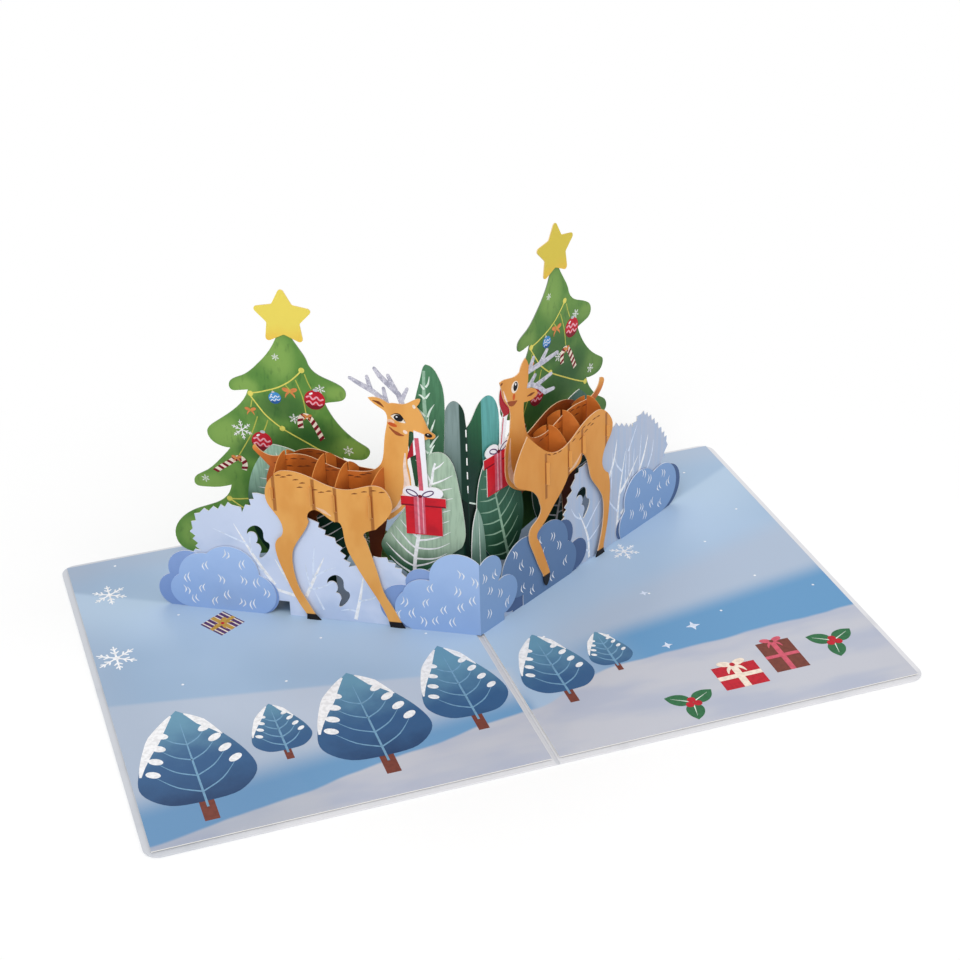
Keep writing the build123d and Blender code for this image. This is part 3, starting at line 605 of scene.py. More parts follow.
@dataclass(frozen=True)
class FrostPrint:
    """Lavender print of the frost leaf wall, greyer on the right wing and darker low: painted shade."""

    fold: Fold
    name: str = "frost_print"
    pale: Colour = tone(210, 220, 242)
    deep: Colour = tone(184, 200, 228)
    # Darker, greyer copies of the wall's tones for the right wing: painted shade.
    shaded_right_pale: Colour = tone(184, 193, 212)
    shaded_right_deep: Colour = tone(172, 190, 216)
    behind: Colour = tone(180, 192, 216)

    def build(self) -> bpy.types.Material:
        """Make the wall's material.

        Returns:
            The material.
        """
        shade = SheetShade(self.name, self.fold)
        patches = shade.noise(0.05, 3)
        streaks = shade.noise(0.5, 2, (1, 1, 0.05))
        # Paler upwards, with random patches: painted shade at the foot, painted light at the top.
        lit = shade.rise(patches + shade.up * 0.006, 0.42, 0.72)
        left = shade.mix(self.deep, self.pale, lit)
        shaded = shade.rise(streaks + shade.up * 0.003, 0.42, 0.72)
        right = shade.mix(self.shaded_right_deep, self.shaded_right_pale, shaded)
        # Painted shade towards the card's left end on the left wing; painted shade tones on the right wing.
        front = shade.mix(shade.leftward(left, 0.7), right, shade.right_wing)
        return shade.press(front, self.behind)


@dataclass(frozen=True)
class CloudPrint:
    """Blue cloud print, paler at the top, with painted shade on the right wing."""

    fold: Fold
    name: str
    top: Colour
    foot: Colour
    shaded: Colour
    height: float = 34.0

    def build(self) -> bpy.types.Material:
        """Make the cloud's material.

        Returns:
            The material.
        """
        shade = SheetShade(self.name, self.fold)
        lift = shade.up + (shade.noise(0.09, 3) - 0.5) * 22
        front = shade.mix(self.foot, self.top, shade.rise(lift, 0.0, self.height))
        # Painted shade on the right wing.
        front = shade.mix(front, self.shaded, shade.right_wing * 0.8)
        back = shade.mix(self.foot, self.top, 0.5)
        return shade.press(front, back, shade.mix(self.top, PAPER, 0.6))


@dataclass(frozen=True)
class LeafPrint:
    """Leaf print that runs from one tone at its foot to another at its tip."""

    fold: Fold
    name: str
    foot: Colour
    tip: Colour
    low: float = 15.0
    high: float = 70.0
    brush: float = 14.0
    pivot: float = 0.0
    slant: float = 0.0

    def build(self) -> bpy.types.Material:
        """Make the leaf's material.

        Returns:
            The material.
        """
        shade = SheetShade(self.name, self.fold)
        lift = shade.up + (shade.noise(0.12, 3) - 0.5) * self.brush
        lift = lift + shade.maths("MINIMUM", shade.across - self.pivot, 0.0) * self.slant
        front = shade.mix(self.foot, self.tip, shade.rise(lift, self.low, self.high))
        streaks = shade.rise(shade.noise(0.9, 2, (1, 1, 0.12)), 0.45, 0.65)
        front = shade.mix(front, self.foot, streaks * 0.22)
        back = shade.mix(self.foot, self.tip, 0.45)
        return shade.press(front, back)


@dataclass(frozen=True)
class FoldLeafPrint:
    """Upright bands of the creased leaves: grey and a dark strip left, deep green and teal right."""

    fold: Fold
    name: str = "fold_leaf_print"
    grey: Colour = tone(132, 152, 150)
    grey_foot: Colour = tone(58, 84, 72)
    dark: Colour = tone(14, 50, 36)
    green: Colour = tone(34, 102, 64)
    teal: Colour = tone(96, 172, 168)
    teal_foot: Colour = tone(46, 108, 100)
    dark_strip: float = -2.6
    teal_start: float = 8.9

    def build(self) -> bpy.types.Material:
        """Make the creased sheet's material.

        Returns:
            The material.
        """
        shade = SheetShade(self.name, self.fold)
        streaks = shade.rise(shade.noise(0.8, 2, (1, 1, 0.08)), 0.4, 0.7)
        # Grey, green and teal darken towards the page and the crease: painted shade.
        grey = shade.mix(self.grey_foot, self.grey, shade.rise(shade.up, 55.0, 92.0))
        green = shade.mix(self.dark, self.green, shade.rise(shade.up + shade.across, 66.0, 104.0))
        teal = shade.mix(self.teal_foot, self.teal, shade.rise(shade.up, 48.0, 88.0))
        strip = shade.rise(shade.across, self.dark_strip - 0.3, self.dark_strip + 0.3)
        front = shade.mix(grey, self.dark, strip)
        front = shade.mix(front, green, shade.rise(shade.across, 0.0, 1.2))
        front = shade.mix(front, teal, shade.rise(shade.across, self.teal_start - 0.2, self.teal_start + 0.2))
        front = shade.mix(front, self.dark, streaks * 0.2)
        # Painted shade across the whole fold towards the page.
        front = shade.mix(front, self.dark, shade.rise(shade.up, 52.0, 24.0) * 0.55)
        return shade.press(front, shade.mix(self.dark, self.green, 0.6))


@dataclass(frozen=True)
class TreePrint:
    """Painted fir: light brushed tiers with deep green under each one; painted shade on the right tree."""

    fold: Fold
    side: int
    place: float = 65.5
    tall: float = 1.0
    light: Colour = tone(134, 172, 84)
    middle: Colour = tone(90, 138, 60)
    deep: Colour = tone(36, 84, 40)
    # Share of the painted shade on the right tree.
    dim: float = 0.3
    shadows: tuple = (
        (-3, 82, 15, 8), (10, 72, 13, 8), (4, 66, 22, 9), (-14, 62, 14, 7), (-4, 44, 22, 12),
        (2, 24, 40, 13),
    )
    lights: tuple = (
        (-3, 104, 9, 12), (-28, 68, 10, 9), (-18, 90, 7, 5), (-36, 44, 11, 7), (20, 90, 6, 4),
        (24, 66, 10, 6), (-46, 20, 8, 10),
    )

    def build(self) -> bpy.types.Material:
        """Make one tree's material.

        Returns:
            The material.
        """
        shade = SheetShade(f"tree_print_{word_of(self.side)}", self.fold)
        brushed = shade.rise(shade.noise(0.16, 4, (1, 1, 0.6)), 0.36, 0.66)
        front = shade.mix(self.middle, self.light, brushed * 0.4)
        for spots, colour, share in ((self.lights, self.light, 0.85), (self.shadows, self.deep, 0.6)):
            for across, up, wide, high in spots:
                mask = shade.spot(self.side * self.place + across, up * self.tall, wide, high * self.tall)
                front = shade.mix(front, colour, mask * share)
        front = shade.mix(front, self.deep, shade.rise(shade.noise(0.5, 3, (1, 1, 0.4)), 0.56, 0.74) * 0.35)
        # Painted shade: the right tree darker, most towards its foot.
        if self.side == RIGHT:
            front = shade.mix(front, self.deep, shade.rise(shade.up, 112.0, 84.0) * self.dim + 0.1)
        back = shade.mix(self.middle, self.deep, 0.3 + brushed * 0.4)
        return shade.press(front, back, shade.mix(self.deep, PAPER, 0.25))


@dataclass(frozen=True)
class StarPrint:
    """Yellow star that deepens towards its lower points; painted shade darkens the right star."""

    fold: Fold
    name: str = "star_print"
    top: Colour = tone(234, 214, 92)
    foot: Colour = tone(238, 188, 70)
    shaded: Colour = tone(210, 188, 62)
    low: float = 107.0
    high: float = 119.0
    right_lift: float = 9.7

    def build(self) -> bpy.types.Material:
        """Make the stars' material.

        Returns:
            The material.
        """
        shade = SheetShade(self.name, self.fold)
        lift = shade.up - shade.right_wing * self.right_lift + (shade.noise(0.2, 3) - 0.5) * 5
        # Painted shade on the right star.
        plain = shade.mix(self.top, self.shaded, shade.right_wing * 0.8)
        colour = shade.mix(self.foot, plain, shade.rise(lift, self.low, self.high))
        return shade.press(colour, colour, shade.mix(self.foot, PAPER, 0.4))


class Layer(Enum):
    """The three profiles of a deer."""

    NEAR = "near"
    MIDDLE = "middle"
    FAR = "far"


@dataclass(frozen=True)
class DeerPrint:
    """Tan coat outside and dark brushed orange inside, with black hooves and painted shade."""

    fold: Fold
    side: int
    layer: Layer
    coat: Colour = tone(232, 168, 88)
    coat_deep: Colour = tone(212, 136, 54)
    inside: Colour = tone(208, 114, 42)
    inside_deep: Colour = tone(134, 60, 18)
    rib_fold_shade: Colour = tone(156, 92, 38)
    hoof: Colour = tone(20, 17, 18)
    hoof_height: float = 2.7
    lifted_hoof: float = 8.2
    lifted_reach: float = 46.0
    neck_place: float = 33.0
    # Painted shade beside the ribs' slits in the near profile: across, lowest and highest point.
    rib_shade_strips: tuple = ((81.4, 50, 66), (65.4, 50, 65), (56.6, 46, 63), (42.0, 44, 64))

    def build(self) -> bpy.types.Material:
        """Make one profile's material.

        Returns:
            The material.
        """
        shade = SheetShade(f"deer_print_{word_of(self.side)}_{self.layer.value}", self.fold)
        brushed = shade.rise(shade.noise(0.1, 4, (1, 1, 0.5)), 0.38, 0.66)
        coat = shade.mix(self.coat, self.coat_deep, brushed * 0.45)
        # Painted shade: the right deer's coat darker.
        if self.side == RIGHT:
            coat = shade.mix(coat, self.coat_deep, 0.5)
        inside = shade.mix(self.inside, self.inside_deep, brushed * 0.6)
        if self.layer is Layer.NEAR:
            # Painted shade strips beside the ribs' slits.
            for place, low, high in self.rib_shade_strips:
                coat = shade.mix(coat, self.rib_fold_shade, shade.strip(self.side * place, low, high, 0.95) * 0.85)
            front, back = coat, inside
        elif self.layer is Layer.MIDDLE:
            neck = shade.rise(shade.across * self.side, self.neck_place + 8, self.neck_place - 1)
            raised = shade.maths("MAXIMUM", neck, shade.rise(shade.up, 71.0, 76.0))
            front = back = shade.mix(inside, coat, raised)
        else:
            # Inner face of the far profile: deep brushed orange, darker below 44 mm with painted shade on the
            # legs.
            front, back = shade.mix(self.inside_deep, self.inside, brushed * 0.35), coat
            leg_shade = shade.mix(self.inside_deep, self.hoof, 0.45)
            front = shade.mix(front, leg_shade, shade.rise(shade.up, 44.0, 36.0))
        hooves = shade.rise(shade.up, self.hoof_height + 0.2, self.hoof_height - 0.2)
        if self.side == RIGHT and self.layer is Layer.NEAR:
            reach = shade.rise(shade.across, self.lifted_reach + 0.5, self.lifted_reach - 0.5)
            lifted = shade.rise(shade.up, self.lifted_hoof + 0.2, self.lifted_hoof - 0.2) * reach
            hooves = shade.maths("MAXIMUM", hooves, lifted)
        front = shade.mix(front, self.hoof, hooves)
        back = shade.mix(back, self.hoof, hooves)
        return shade.press(front, back, shade.mix(shade.mix(self.coat, PAPER, 0.35), self.hoof, hooves))


@dataclass(frozen=True)
class RibPrint:
    """Dark brushed orange of the ribs, with a tan rim and painted shade towards their foot."""

    fold: Fold
    name: str = "rib_print"
    face: Colour = tone(212, 120, 48)
    deep: Colour = tone(146, 66, 22)
    rim: Colour = tone(218, 144, 74)
    coat: Colour = tone(226, 162, 86)
    near_skin: float = -1.6
    far_skin: float = 11.9

    def build(self) -> bpy.types.Material:
        """Make the ribs' material.

        Returns:
            The material.
        """
        shade = SheetShade(self.name, self.fold, crossing=True)
        brushed = shade.rise(shade.noise(0.12, 4), 0.38, 0.66)
        # Painted shade: the ribs darker towards their foot, inside the body.
        lift = shade.rise(shade.up, 50.0, 66.0)
        face = shade.mix(self.deep, self.face, lift * 0.7 + brushed * 0.3)
        beside = shade.maths("ABSOLUTE", shade.x) * (self.fold.turn_sin / self.fold.turn_cos)
        depth = (shade.y - self.fold.crease_y - beside) * self.fold.turn_cos
        outside = shade.rise(depth, self.near_skin + 0.1, self.near_skin - 0.02)
        outside = outside + shade.rise(depth, self.far_skin - 0.1, self.far_skin + 0.02)
        face = shade.mix(face, self.coat, outside)
        return shade.press(face, face, shade.mix(self.rim, self.coat, outside))


@dataclass(frozen=True)
class AntlerPrint:
    """Silver grey card with fine glitter."""

    fold: Fold
    name: str = "antler_print"
    silver: Colour = tone(196, 194, 206)
    deep: Colour = tone(160, 160, 176)
    glint: Colour = tone(236, 236, 246)

    def build(self) -> bpy.types.Material:
        """Make the antlers' material.

        Returns:
            The material.
        """
        shade = SheetShade(self.name, self.fold)
        specks = shade.node("ShaderNodeTexVoronoi", {"feature": "F1"}, {"Vector": shade.place, "Scale": 3.2})
        sparkle = shade.rise(shade.parts(Socket(shade, specks.outputs["Color"]))[0], 0.86, 0.94)
        colour = shade.mix(self.deep, self.silver, shade.rise(shade.noise(0.5, 3), 0.35, 0.6))
        colour = shade.mix(colour, self.glint, sparkle * 0.7)
        return shade.press(colour, colour, self.silver, 0.42)


@dataclass(frozen=True)
class GiftPrint:
    """Red wrapping with a darker foot, and white above the lid for strap and bow."""

    fold: Fold
    side: int
    lid_top: float
    red: Colour = tone(214, 28, 42)
    deep: Colour = tone(170, 18, 36)
    white: Colour = tone(246, 244, 248)
    strap_end: float = -21.9
    strap_foot: float = 72.0
    strap_neck: float = 84.6

    def build(self) -> bpy.types.Material:
        """Make one gift's material.

        Returns:
            The material.
        """
        shade = SheetShade(f"gift_print_{word_of(self.side)}", self.fold)
        red = shade.mix(self.red, self.deep, shade.rise(shade.noise(0.15, 3), 0.4, 0.7) * 0.6)
        colour = shade.mix(red, self.white, shade.rise(shade.up, self.lid_top - 0.1, self.lid_top + 0.1))
        if self.side == LEFT:
            loose = shade.rise(shade.across, self.strap_end + 0.2, self.strap_end)
            loose = loose * shade.rise(shade.up, self.strap_foot, self.strap_foot + 0.4)
            colour = shade.mix(colour, self.deep, loose)
        else:
            neck = shade.rise(shade.up, self.strap_neck - 0.2, self.strap_neck + 0.2)
            colour = shade.mix(colour, self.deep, neck)
        return shade.press(colour, colour)


def smooth(path: Outline, steps: int = 5) -> Outline:
    """Round a path through its points.

    Args:
        path: points to pass through.
        steps: short runs between two points.

    Returns:
        The rounded path.
    """
    ends = [path[0], *path, path[-1]]
    rounded = []
    for before, start, end, after in zip(ends, ends[1:], ends[2:], ends[3:]):
        for step in range(steps):
            share = step / steps
            rounded.append(tuple(
                0.5 * (
                    2 * b + (c - a) * share + (2 * a - 5 * b + 4 * c - d) * share ** 2
                    + (3 * b - a - 3 * c + d) * share ** 3
                )
                for a, b, c, d in zip(before, start, end, after)
            ))
    return [*rounded, path[-1]]


class Taper(Enum):
    """How a stroke's width runs: share of the width at its start, middle and end."""

    EVEN = (1.0, 1.0, 1.0)
    TIP = (1.0, 0.8, 0.12)
    BOTH = (0.15, 1.0, 0.15)
    SOFT = (1.0, 0.95, 0.5)


def stroke(path: Outline, width: float, taper: Taper = Taper.EVEN) -> Outline:
    """Outline of a brush stroke.

    Args:
        path: the stroke's middle line.
        width: its full width.
        taper: how the width runs.

    Returns:
        The closed outline.
    """
    first, middle, last = taper.value
    right, left = [], []
    for number, (across, up) in enumerate(path):
        before, after = path[max(number - 1, 0)], path[min(number + 1, len(path) - 1)]
        run, climb = after[0] - before[0], after[1] - before[1]
        span = math.hypot(run, climb)
        share = number / (len(path) - 1)
        if share < 0.5:
            swell = first + (middle - first) * 2 * share
        else:
            swell = middle + (last - middle) * (2 * share - 1)
        half = width / 2 * swell
        right.append((across + climb / span * half, up - run / span * half))
        left.append((across - climb / span * half, up + run / span * half))
    return right + left[::-1]


def brush(path: Outline, width: float, taper: Taper = Taper.BOTH, steps: int = 4) -> Outline:
    """Outline of a brush stroke along a rounded path."""
    return stroke(smooth(path, steps), width, taper)


def oval(across: float, up: float, wide: float, tall: float, turn: float = 0.0, count: int = 24) -> Outline:
    """Outline of an oval.

    Args:
        across: its middle across.
        up: its middle up.
        wide: half width.
        tall: half height.
        turn: turn in degrees, anticlockwise.
        count: points around it.

    Returns:
        The closed outline.
    """
    cos, sin = math.cos(math.radians(turn)), math.sin(math.radians(turn))
    outline = []
    for number in range(count):
        angle = 2 * math.pi * number / count
        a, b = wide * math.cos(angle), tall * math.sin(angle)
        outline.append((across + a * cos - b * sin, up + a * sin + b * cos))
    return outline


def moved(outline: Outline, across: float, up: float, turn: float = 0.0, size: float = 1.0) -> Outline:
    """Turn an outline about its zero, scale it and move it.

    Args:
        outline: the outline around its zero.
        across: where its zero goes across.
        up: where its zero goes up.
        turn: turn in degrees, anticlockwise.
        size: scale.

    Returns:
        The moved outline.
    """
    cos, sin = math.cos(math.radians(turn)) * size, math.sin(math.radians(turn)) * size
    return [(across + a * cos - b * sin, up + a * sin + b * cos) for a, b in outline]


def snowflake(radius: float) -> Outline:
    """Outline of a six armed snowflake with two pairs of twigs on each arm.

    Args:
        radius: from its middle to the end of an arm.

    Returns:
        The closed outline.
    """
    side = [
        (0.10, 0.045), (0.36, 0.045), (0.54, 0.22), (0.60, 0.17), (0.48, 0.045), (0.66, 0.045),
        (0.80, 0.17), (0.86, 0.12), (0.77, 0.045), (1.0, 0.03),
    ]
    arm = [(out, -half) for out, half in side] + [(out, half) for out, half in side[::-1]]
    flake = []
    for number in range(6):
        flake += moved(arm, 0, 0, 60 * number + 30, radius)
    return flake


def star(radius: float, waist: float, points: int = 5) -> Outline:
    """Outline of a pointed star.

    Args:
        radius: from its middle to a point.
        waist: from its middle to a notch.
        points: how many points it has.

    Returns:
        The closed outline.
    """
    reach = (radius, waist)
    return [
        (reach[n % 2] * math.sin(-n * math.pi / points), reach[n % 2] * math.cos(n * math.pi / points))
        for n in range(2 * points)
    ]


Motif = list[tuple[Ink, Outline, int]]


def candy_cane(path: Outline, width: float) -> Motif:
    """Striped cane along a bent line.

    Args:
        path: its middle line from the hook's end to the foot.
        width: of the stick.

    Returns:
        Its printed shapes.
    """
    dense = smooth(path, 12)
    motif = [(Ink.CREAM, stroke(dense, width), 0)]
    run, pitch, next_stripe = 0.0, width * 1.1, width * 0.45
    for (a, b), (c, d) in zip(dense, dense[1:]):
        span = math.hypot(c - a, d - b)
        run += span
        if run >= next_stripe:
            next_stripe += pitch
            ahead = ((c - a) / span * width, (d - b) / span * width)
            aside = (ahead[1], -ahead[0])
            corners = ((0.06, 0.5), (0.6, 0.5), (0.18, -0.5), (-0.36, -0.5))
            motif.append((Ink.DARK_RED, [
                (a + ahead[0] * p + aside[0] * q, b + ahead[1] * p + aside[1] * q) for p, q in corners
            ], 1))
    return motif


def bow(size: float, ink: Ink, knot: Ink) -> Motif:
    """Bow with two loops and two tails.

    Args:
        size: about half its width.
        ink: ink of the ribbon.
        knot: ink of the knot.

    Returns:
        Its printed shapes.
    """
    motif = []
    for way in (-1, 1):
        tail = [(0, 0), (way * size * 0.5, -size * 0.5), (way * size * 0.7, -size)]
        motif.append((ink, brush(tail, size * 0.34, Taper.TIP, 5), 0))
    for way in (-1, 1):
        motif.append((ink, oval(way * size * 0.55, size * 0.2, size * 0.55, size * 0.32, way * 20, 16), 1))
    return [*motif, (knot, oval(0, 0, size * 0.2, size * 0.22, 0, 12), 2)]


def bauble(radius: float, ball: Ink, shadow: Ink, band: Ink) -> Motif:
    """Glass ball with a shaded foot, two painted bands and a cap.

    Args:
        radius: of the ball.
        ball: its ink.
        shadow: ink of its shaded foot.
        band: ink of its painted bands.

    Returns:
        Its printed shapes.
    """
    reach, rim = radius * 0.82, -radius * 0.25
    wave = [(share * reach, radius * 0.16 * math.sin(share * 9)) for share in (-1, -0.6, -0.2, 0.2, 0.6, 1)]
    crescent = oval(0, 0, radius * 0.99, radius * 0.99, 0, 28)
    shade = [(a, b) if b < rim else (a, rim - (radius - abs(a)) * 0.35) for a, b in crescent]
    return [
        (ball, oval(0, 0, radius, radius, 0, 28), 0),
        (shadow, shade, 1),
        (band, stroke(smooth([(a, b + radius * 0.18) for a, b in wave]), radius * 0.16), 2),
        (band, stroke(smooth([(a * 0.95, b - radius * 0.34) for a, b in wave]), radius * 0.14), 2),
        (Ink.WHITE, oval(-radius * 0.4, radius * 0.58, radius * 0.2, radius * 0.1, 35, 12), 2),
        (Ink.SILVER, oval(0, radius * 1.02, radius * 0.26, radius * 0.16, 0, 10), 1),
    ]


def leaf_blade(length: float, width: float) -> Outline:
    """Outline of a small pointed leaf that grows up from its zero.

    Args:
        length: from foot to tip.
        width: its full width.

    Returns:
        The closed outline.
    """
    half = [(0.0, 0.0), (0.38, 0.2), (0.5, 0.45), (0.36, 0.75), (0.0, 1.0)]
    right = [(a * width, b * length) for a, b in half]
    left = [(-a * width, b * length) for a, b in half[::-1]]
    return smooth(right, 4)[:-1] + smooth(left, 4)[:-1]


def parcel(width: float, height: float, box: Ink, ribbon: Ink) -> Motif:
    """Flat gift box with a crossed ribbon and a bow.

    Args:
        width: of the box.
        height: of the box.
        box: ink of the box and of the bow's knot.
        ribbon: ink of the ribbon.

    Returns:
        Its printed shapes.
    """
    half = width / 2
    motif = [
        (box, [(-half, 0), (half, 0), (half, height), (-half, height)], 0),
        (ribbon, stroke([(0, 0), (0, height)], width * 0.16), 1),
        (ribbon, stroke([(-half, height * 0.5), (half, height * 0.5)], width * 0.14), 2),
    ]
    tied = bow(width * 0.3, ribbon, box)
    return motif + [(ink, moved(shape, 0, height), layer + 3) for ink, shape, layer in tied]


def round_tree(height: float, width: float) -> Motif:
    """Winter tree with a drop shaped crown, branches like a leaf's veins and snow on its shoulder.

    Args:
        height: from the foot of the trunk to the tip.
        width: of the crown.

    Returns:
        The printed shapes, from the foot of the trunk; the crown comes first.
    """
    foot = height * 0.16
    crown = height - foot
    shares = ((0.0, 0.0), (0.3, 0.03), (0.5, 0.2), (0.47, 0.42), (0.3, 0.7), (0.12, 0.9), (0.0, 1.0))
    half = smooth([(a * width, foot + b * crown) for a, b in shares], 5)
    blade = half[:-1] + [(-a, b) for a, b in half[:0:-1]]
    stem = [(0, foot * 0.7), (0, foot + crown * 0.45), (0, foot + crown * 0.86)]
    motif = [
        (Ink.BLUE, blade, 1),
        (Ink.BARK, stroke([(0, 0), (0, foot * 1.3)], width * 0.13), 0),
        (Ink.BRANCH, stroke(stem, 0.9, Taper.TIP), 2),
    ]
    for number in range(4):
        start = foot + crown * (0.1 + 0.17 * number)
        reach = width * (0.36 - 0.055 * number)
        for way in (-1, 1):
            end = way * reach
            path = [(0, start), (end * 0.55, start + reach * 0.35), (end, start + reach * 0.95)]
            motif.append((Ink.BRANCH, brush(path, 0.7, Taper.TIP), 2))
            snow = oval(end, start + reach * 1.02, width * 0.07, width * 0.042, way * 35, 14)
            motif.append((Ink.WHITE, snow, 3))
    for way, low, share in ((-1, 0.36, 0.13), (1, 0.62, 0.09)):
        cap = [(way * a * 0.96, b) for a, b in half if foot + crown * low < b < foot + crown * 0.97]
        motif.append((Ink.WHITE, stroke(cap, width * share, Taper.BOTH), 2))
    return motif


class InkShelf:
    """The inks' materials, each made once when it is first used."""

    def __init__(self) -> None:
        """Start with no ink open."""
        self.open: dict[object, bpy.types.Material] = {}

    def take(self, ink: "Ink | str") -> bpy.types.Material:
        """Material of an ink, or of the painted crowns.

        Args:
            ink: the ink, or the word crown.

        Returns:
            Its material.
        """
        if ink not in self.open:
            self.open[ink] = CrownFinish().build() if ink == "crown" else InkFinish(ink).build()
        return self.open[ink]


class Print:
    """Printed shapes on one face. Each is a thin closed flake, and all are joined into one piece."""

    thickness = 0.03
    first_lift = -0.021
    layer_lift = 0.02
    step_lift = 0.002
    steps = 9

    def __init__(self, name: str, face: Face, slot: str, shelf: InkShelf) -> None:
        """Start an empty print.

        Args:
            name: the piece's name.
            face: the face that takes the print.
            slot: the record's material slot, which is not used.
            shelf: the inks.
        """
        self.name = name
        self.face = face
        self.slot = slot
        self.shelf = shelf
        self.flakes: list[bpy.types.Object] = []

    def shape(self, ink: "Ink | str", outline: Outline, layer: int = 0) -> None:
        """Cut one flake to its outline.

        Args:
            ink: its ink.
            outline: its closed outline across and up the face.
            layer: higher layers lie on lower ones.
        """
        area = sum(a * d - c * b for (a, b), (c, d) in zip(outline, outline[1:] + outline[:1]))
        if (area < 0) != self.face.turned():
            outline = outline[::-1]
        bpy.ops.mesh.primitive_circle_add(vertices=len(outline), radius=MM, fill_type="NGON")
        flake = bpy.context.object
        lift = self.first_lift + self.layer_lift * layer + self.step_lift * (len(self.flakes) % self.steps)
        for vertex, (across, up) in zip(flake.data.vertices, outline):
            vertex.co = self.face.at(across, up, lift)
        flake.data.materials.append(self.shelf.take(ink))
        self.flakes.append(flake)

    def motif(
        self, motif: Motif, across: float, up: float, turn: float = 0.0, size: float = 1.0, layer: int = 0
    ) -> None:
        """Place a motif.

        Args:
            motif: its shapes around its zero.
            across: where its zero goes across the face.
            up: where its zero goes up the face.
            turn: turn in degrees.
            size: scale.
            layer: layer of its lowest shape.
        """
        for ink, outline, own in motif:
            self.shape(ink, moved(outline, across, up, turn, size), layer + own)

    def dashes(self, ink: Ink, places: tuple, length: float, width: float, turn: float = 0.0) -> None:
        """Print short brush marks at given places.

        Args:
            ink: their ink.
            places: their middles, some with a turn of their own.
            length: of a mark.
            width: of a mark at its middle.
            turn: turn of the others, in degrees.
        """
        mark = brush([(-length / 2, 0), (0, length * 0.06), (length / 2, 0)], width, steps=3)
        for across, up, *own in places:
            self.shape(ink, moved(mark, across, up, own[0] if own else turn))

    def press(self) -> None:
        """Join the flakes, give them their thickness and fasten the piece to the card."""
        bpy.ops.object.select_all(action="DESELECT")
        for flake in self.flakes:
            flake.select_set(True)
        piece = self.flakes[0]
        bpy.context.view_layer.objects.active = piece
        if len(self.flakes) > 1:
            bpy.ops.object.join()
        bpy.ops.object.transform_apply(location=True, rotation=True, scale=True)
        solid = piece.modifiers.new("flake", "SOLIDIFY")
        solid.thickness = self.thickness * MM
        solid.offset = 1.0
        bpy.ops.object.modifier_apply(modifier=solid.name)
        piece.name = self.name
        piece.data.name = self.name
        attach(piece, BODY)
        log.info("%s: %d printed shapes, %d faces", self.name, len(self.flakes), len(piece.data.polygons))


@dataclass
class Assembly:
    """A group of the card's pieces that are dressed together."""

    fold: Fold
    shelf: InkShelf

    def dress(self, nodes: tuple[str, ...] | list[str], material: bpy.types.Material) -> None:
        """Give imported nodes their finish.

        Args:
            nodes: the nodes' names.
            material: their material.
        """
        for name in nodes:
            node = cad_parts[name]
            node.data.materials.clear()
            node.data.materials.append(material)
            log.info("%s wears %s", name, material.name)

    def sheet(self, name: str, side: int, depth: float, slot: str) -> Print:
        """Start a print on the front of a sheet."""
        return Print(name, self.fold.front(side, depth), slot, self.shelf)

    def sheets(self, name: str, side: int, depth: float, slot: str) -> list[Print]:
        """Start a print on the front and one on the back of a sheet."""
        faces = {"front": self.fold.front, "back": self.fold.back}
        return [Print(f"{name}_{way}", face(side, depth), slot, self.shelf) for way, face in faces.items()]


